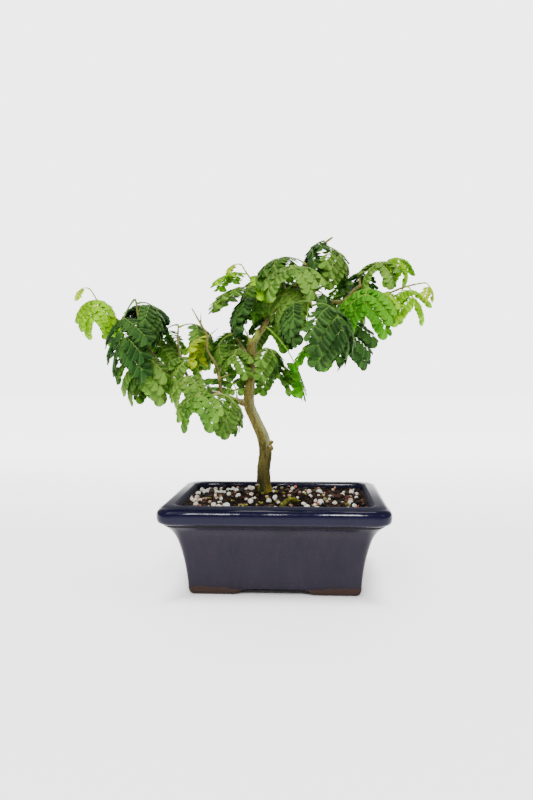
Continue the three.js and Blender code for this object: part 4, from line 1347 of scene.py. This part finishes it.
# Clods of reddish bark: place and radius
RED_CLODS = [
    (60, 8, 4.6), (68, 2, 3.8), (54, 14, 3.4), (76, 12, 3.6), (66, -12, 3.2), (80, -8, 3), (50, 2, 2.8),
    (-64, 2, 2.8), (-48, 6, 2.6), (72, -24, 2.6),
]
# Cushions of moss: place and radius
MOSS_CUSHIONS = [
    (-27, -40, 4.2), (-31, -36, 2.6), (-2, 10, 3), (20, -20, 2.6), (44, 2, 2), (7, 3, 2.2), (-24, 4, 2.4),
    (-13, -4, 2.2), (66, -30, 2), (-52, 22, 2), (-6, -46, 2.6), (2, -28, 2.4), (-14, -30, 2.2),
    (12, -12, 2.2), (27, 8, 2.4), (-40, -22, 1.8), (36, -38, 2), (-8, -18, 2), (58, 14, 1.6), (-64, -8, 1.6),
]
MOSSY_ROOT = [
    (6, -47, 78.5), (9, -43, 80.6), (12.5, -38, 82), (16, -34, 82.1), (18.5, -31, 80.8), (20, -29, 79),
]
ROOT_STEPS = 30
ROOT_RADIUS, ROOT_WAVE = 1.8, 0.6
ROOT_TINT = (0.12, 0.4, 0)
MOSS_DENSITY = 5
MOSS_SPREAD = 0.42
MOSS_ROUGHNESS = 0.35


def build_grit():
    rng = np.random.default_rng(77)
    perlite = stone_material("perlite", PERLITE, 0.75, (0.42, 0.40, 0.36), 0.5)
    pebbles = stone_material("pebbles", PEBBLES, 0.7, (0.10, 0.07, 0.05), 0.6)
    crumbs = stone_material("crumbs", CRUMBS, 0.9, (0.10, 0.07, 0.05), 0.3, 1300)
    red = stone_material("red_bark", RED_BARK, 0.9, (0.30, 0.16, 0.10), 0.4, 1300)
    stones = [*LARGE_STONES, *((x, y, radius * GRIT_SHARE) for x, y, radius in stone_spots())]
    spread_lumps("perlite", 30, rng, 3, (1.0, 1.9), 0.14, perlite, 0.4, spots=stones)
    spread_lumps("pebbles", 62, rng, 2, (1.0, 2.0), 0.2, pebbles, 0.35)
    spread_lumps("red_clods", 14, rng, 2, (1.2, 2.2), 0.35, red, 0.1, flat=0.5, spots=RED_CLODS)
    spread_lumps("crumbs", 1500, rng, 1, (0.5, 1.3), 0.25, crumbs, 0.45)
    spread_lumps("bark_chips", 60, rng, 2, (1.8, 3.4), 0.22, crumbs, 0.9, boxy=0.4, flat=0.3)
    build_moss(rng)


def moss_lump(size, rng):
    return lump(2, size, MOSS_ROUGHNESS, int(rng.integers(900)), rng)


def build_moss(rng):
    """Yellow-green moss in small cushions, and a mossy root that shows near the front."""
    shape = Shape()
    for x, y, size in MOSS_CUSHIONS:
        for _ in range(int(size * MOSS_DENSITY)):
            dx, dy = rng.normal(0, size * MOSS_SPREAD, 2)
            radius = rng.uniform(0.5, 1.1)
            spot = np.array([x + dx, y + dy, soil_height(x + dx, y + dy) + radius * 0.7])
            add_lump(shape, moss_lump(radius * rng.uniform(0.7, 1.2, 3), rng), spot, rng)
    path = curve_path(MOSSY_ROOT, ROOT_STEPS)
    points, faces = tube(path, ROOT_RADIUS + ROOT_WAVE * np.sin(np.linspace(0, 11, ROOT_STEPS)), 16)
    relief = np.array([noise.noise(Vector(p) * 0.7) for p in points])
    shape.add(points + relief[:, None] * 1.1 * UP, faces, ROOT_TINT)
    for place in path[3:-2]:
        made = moss_lump(rng.uniform(0.6, 1.2, 3), rng)
        add_lump(shape, made, place + np.append(rng.normal(0, 1.1, 2), 1.3), rng)
    shape.piece("moss", "soil", stone_material("moss", MOSS, 0.9, (0.025, 0.030, 0.004), 0.75, 1100))


# Drainage screens on the pot floor

SCREEN_WIRES = 14
WIRE_RADIUS = 0.35
# Height over the pot's floor of the wires along the pot and of those across it
SCREEN_LIFTS = (0.85, 1.15)


def build_screens():
    screen = Paint("screen")
    screen.colour = screen.mix(screen.noise(300, 3), (0.012, 0.012, 0.012), (0.035, 0.034, 0.032))
    screen.finish(screen.noise(500, 2).ramp((0.3, 0.4), (0.7, 0.6)))
    half = SCREEN_SIZE / 2 - 0.5
    for side, name in ((-1, "left"), (1, "right")):
        shape = Shape()
        for offset in np.linspace(-half, half, SCREEN_WIRES):
            for turned, lift in enumerate(SCREEN_LIFTS):
                ends = [(offset, -half), (offset, half)] if turned else [(-half, offset), (half, offset)]
                path = [(side * DRAIN_HOLE_X + x, y, FLOOR_TOP + lift) for x, y in ends]
                shape.add(*tube(np.linspace(path[0], path[1], 3), WIRE_RADIUS, 6))
        shape.piece(f"fine_drain_screen_{name}", "screen", screen.material, [f"drain_screen_{name}"])


# Studio

CAMERA_PLACE = (31.5, -618, 194)
CAMERA_TURN = 0.066
CAMERA_PITCH = 0.037
CAMERA_ROLL = -0.006
FOCAL_PIXELS = 650
IMAGE_HEIGHT = 800
SENSOR = 36
BACKDROP_GLOW = 4.2
ROOM_GLOW = 0.45
BACKDROP_EDGE = (0.7, 0.81)
FLOOR_REACH = 6
FLOOR_DROP = 0.0002
FLOOR_TONE = 0.92
# Glow of the floor at each distance behind the pot's middle, in metres
FLOOR_GLOW = [(-0.45, 0.2), (-0.33, 1.5), (0.1, 1.7), (1.0, 3.6)]
# Half length and depth of the painted shadow at the pot's feet, a patch of floor that doesn't glow, and the
# width of its edge
FOOT_SHADOW_HALF = (0.075, 0.051)
FOOT_SHADOW_EDGE = (-0.006, 0.03)
# Soft lights: place, side and power
LIGHTS = {
    "key": ((-0.9, -1.1, 1.6), 0.9, 11),
    "fill": ((1.3, -0.8, 1.1), 0.8, 3),
    "top": ((0.1, 0.2, 1.9), 0.7, 12),
}
# Strip lights that show as small highlights on the rim: place and width
SPARKS = [(-0.29, 0.04), (-0.207, 0.04), (-0.046, 0.025), (0.177, 0.13)]
SPARK_HEIGHT = 0.35
SPARK_POWER = 85
# Depth and height of the strips, and of the spots that they are turned to
SPARK_PLACE = (-1.15, 0.95)
SPARK_TARGET = (-0.08, 0.08)
# The spots lie at this share of the strips' x
SPARK_INWARD = 0.3
MIDDLE = (0.0, 0.0, 0.18)


def build_camera():
    camera = bpy.data.cameras.new("camera")
    camera.sensor_width = SENSOR
    camera.lens = FOCAL_PIXELS * SENSOR / IMAGE_HEIGHT
    camera.clip_start, camera.clip_end = 0.01, 50
    obj = scene_object("camera", camera)
    obj.matrix_world = Matrix.Translation((Vector(CAMERA_PLACE) + Vector(SHIFT)) * MM)
    for angle, axis in ((CAMERA_TURN, "Z"), (math.pi / 2 - CAMERA_PITCH, "X"), (CAMERA_ROLL, "Z")):
        obj.matrix_world = obj.matrix_world @ Matrix.Rotation(angle, 4, axis)
    bpy.context.scene.camera = obj


def area_light(name, place, target, size, power):
    light = bpy.data.lights.new(name, "AREA")
    light.shape = "RECTANGLE"
    light.size, light.size_y = size
    light.energy = power
    obj = scene_object(name, light)
    obj.location = place
    obj.rotation_mode = "QUATERNION"
    obj.rotation_quaternion = (Vector(target) - Vector(place)).to_track_quat("-Z", "Y")


def build_world():
    """A bright sweep behind the object and a dimmer room round it."""
    world = bpy.data.worlds.new("studio")
    bpy.context.scene.world = world
    world.use_nodes = True
    away = put(world.node_tree, "TexCoord", {}, "Generated").parts()[1]
    inputs = world.node_tree.nodes["Background"].inputs
    inputs["Color"].default_value = full_colour(1)
    join(inputs["Strength"], away.smoothly(*BACKDROP_EDGE, ROOM_GLOW, BACKDROP_GLOW))


def build_floor():
    """A white floor that glows, dim in front of the pot and brighter behind it, with a painted shadow at the
    pot's feet where it doesn't glow.
    """
    floor = Paint("floor")
    x, y, _ = floor.where.parts()
    near, far, brightest = FLOOR_GLOW[0][0], *FLOOR_GLOW[-1]
    stops = [((place - near) / (far - near), glow / brightest) for place, glow in FLOOR_GLOW]
    glow = ((y - near) / (far - near)).ramp(*stops)
    # Painted shadow: the floor doesn't glow under and round the pot's feet
    beside = abs(x - SHIFT[0] * MM) - FOOT_SHADOW_HALF[0]
    before = abs(y - SHIFT[1] * MM) - FOOT_SHADOW_HALF[1]
    painted_foot_shadow = maths("MAXIMUM", beside, before).smoothly(*FOOT_SHADOW_EDGE, 0.0, brightest)
    inputs = floor.shader.inputs
    inputs["Base Color"].default_value = full_colour(FLOOR_TONE)
    inputs["Roughness"].default_value = 0.9
    inputs["Emission Color"].default_value = full_colour(1)
    join(inputs["Emission Strength"], glow * painted_foot_shadow)
    mesh = bpy.data.meshes.new("floor")
    r = FLOOR_REACH
    mesh.from_pydata([(-r, -r, 0), (r, -r, 0), (r, r, 0), (-r, r, 0)], [], [(0, 1, 2, 3)])
    mesh.materials.append(floor.material)
    obj = scene_object("floor", mesh)
    obj.location.z = -FLOOR_DROP


def build_lights():
    for name, (place, side, power) in LIGHTS.items():
        area_light(name, place, MIDDLE, (side, side), power)
    for k, (x, width) in enumerate(SPARKS):
        target = (x * SPARK_INWARD, *SPARK_TARGET)
        area_light(f"spark{k}", (x, *SPARK_PLACE), target, (width, SPARK_HEIGHT), SPARK_POWER * width)


build_camera()
build_world()
build_floor()
build_lights()
build_pot(glaze_material())
build_soil(soil_material())
build_grit()
build_screens()
build_wood(bark_material())
build_leaves()
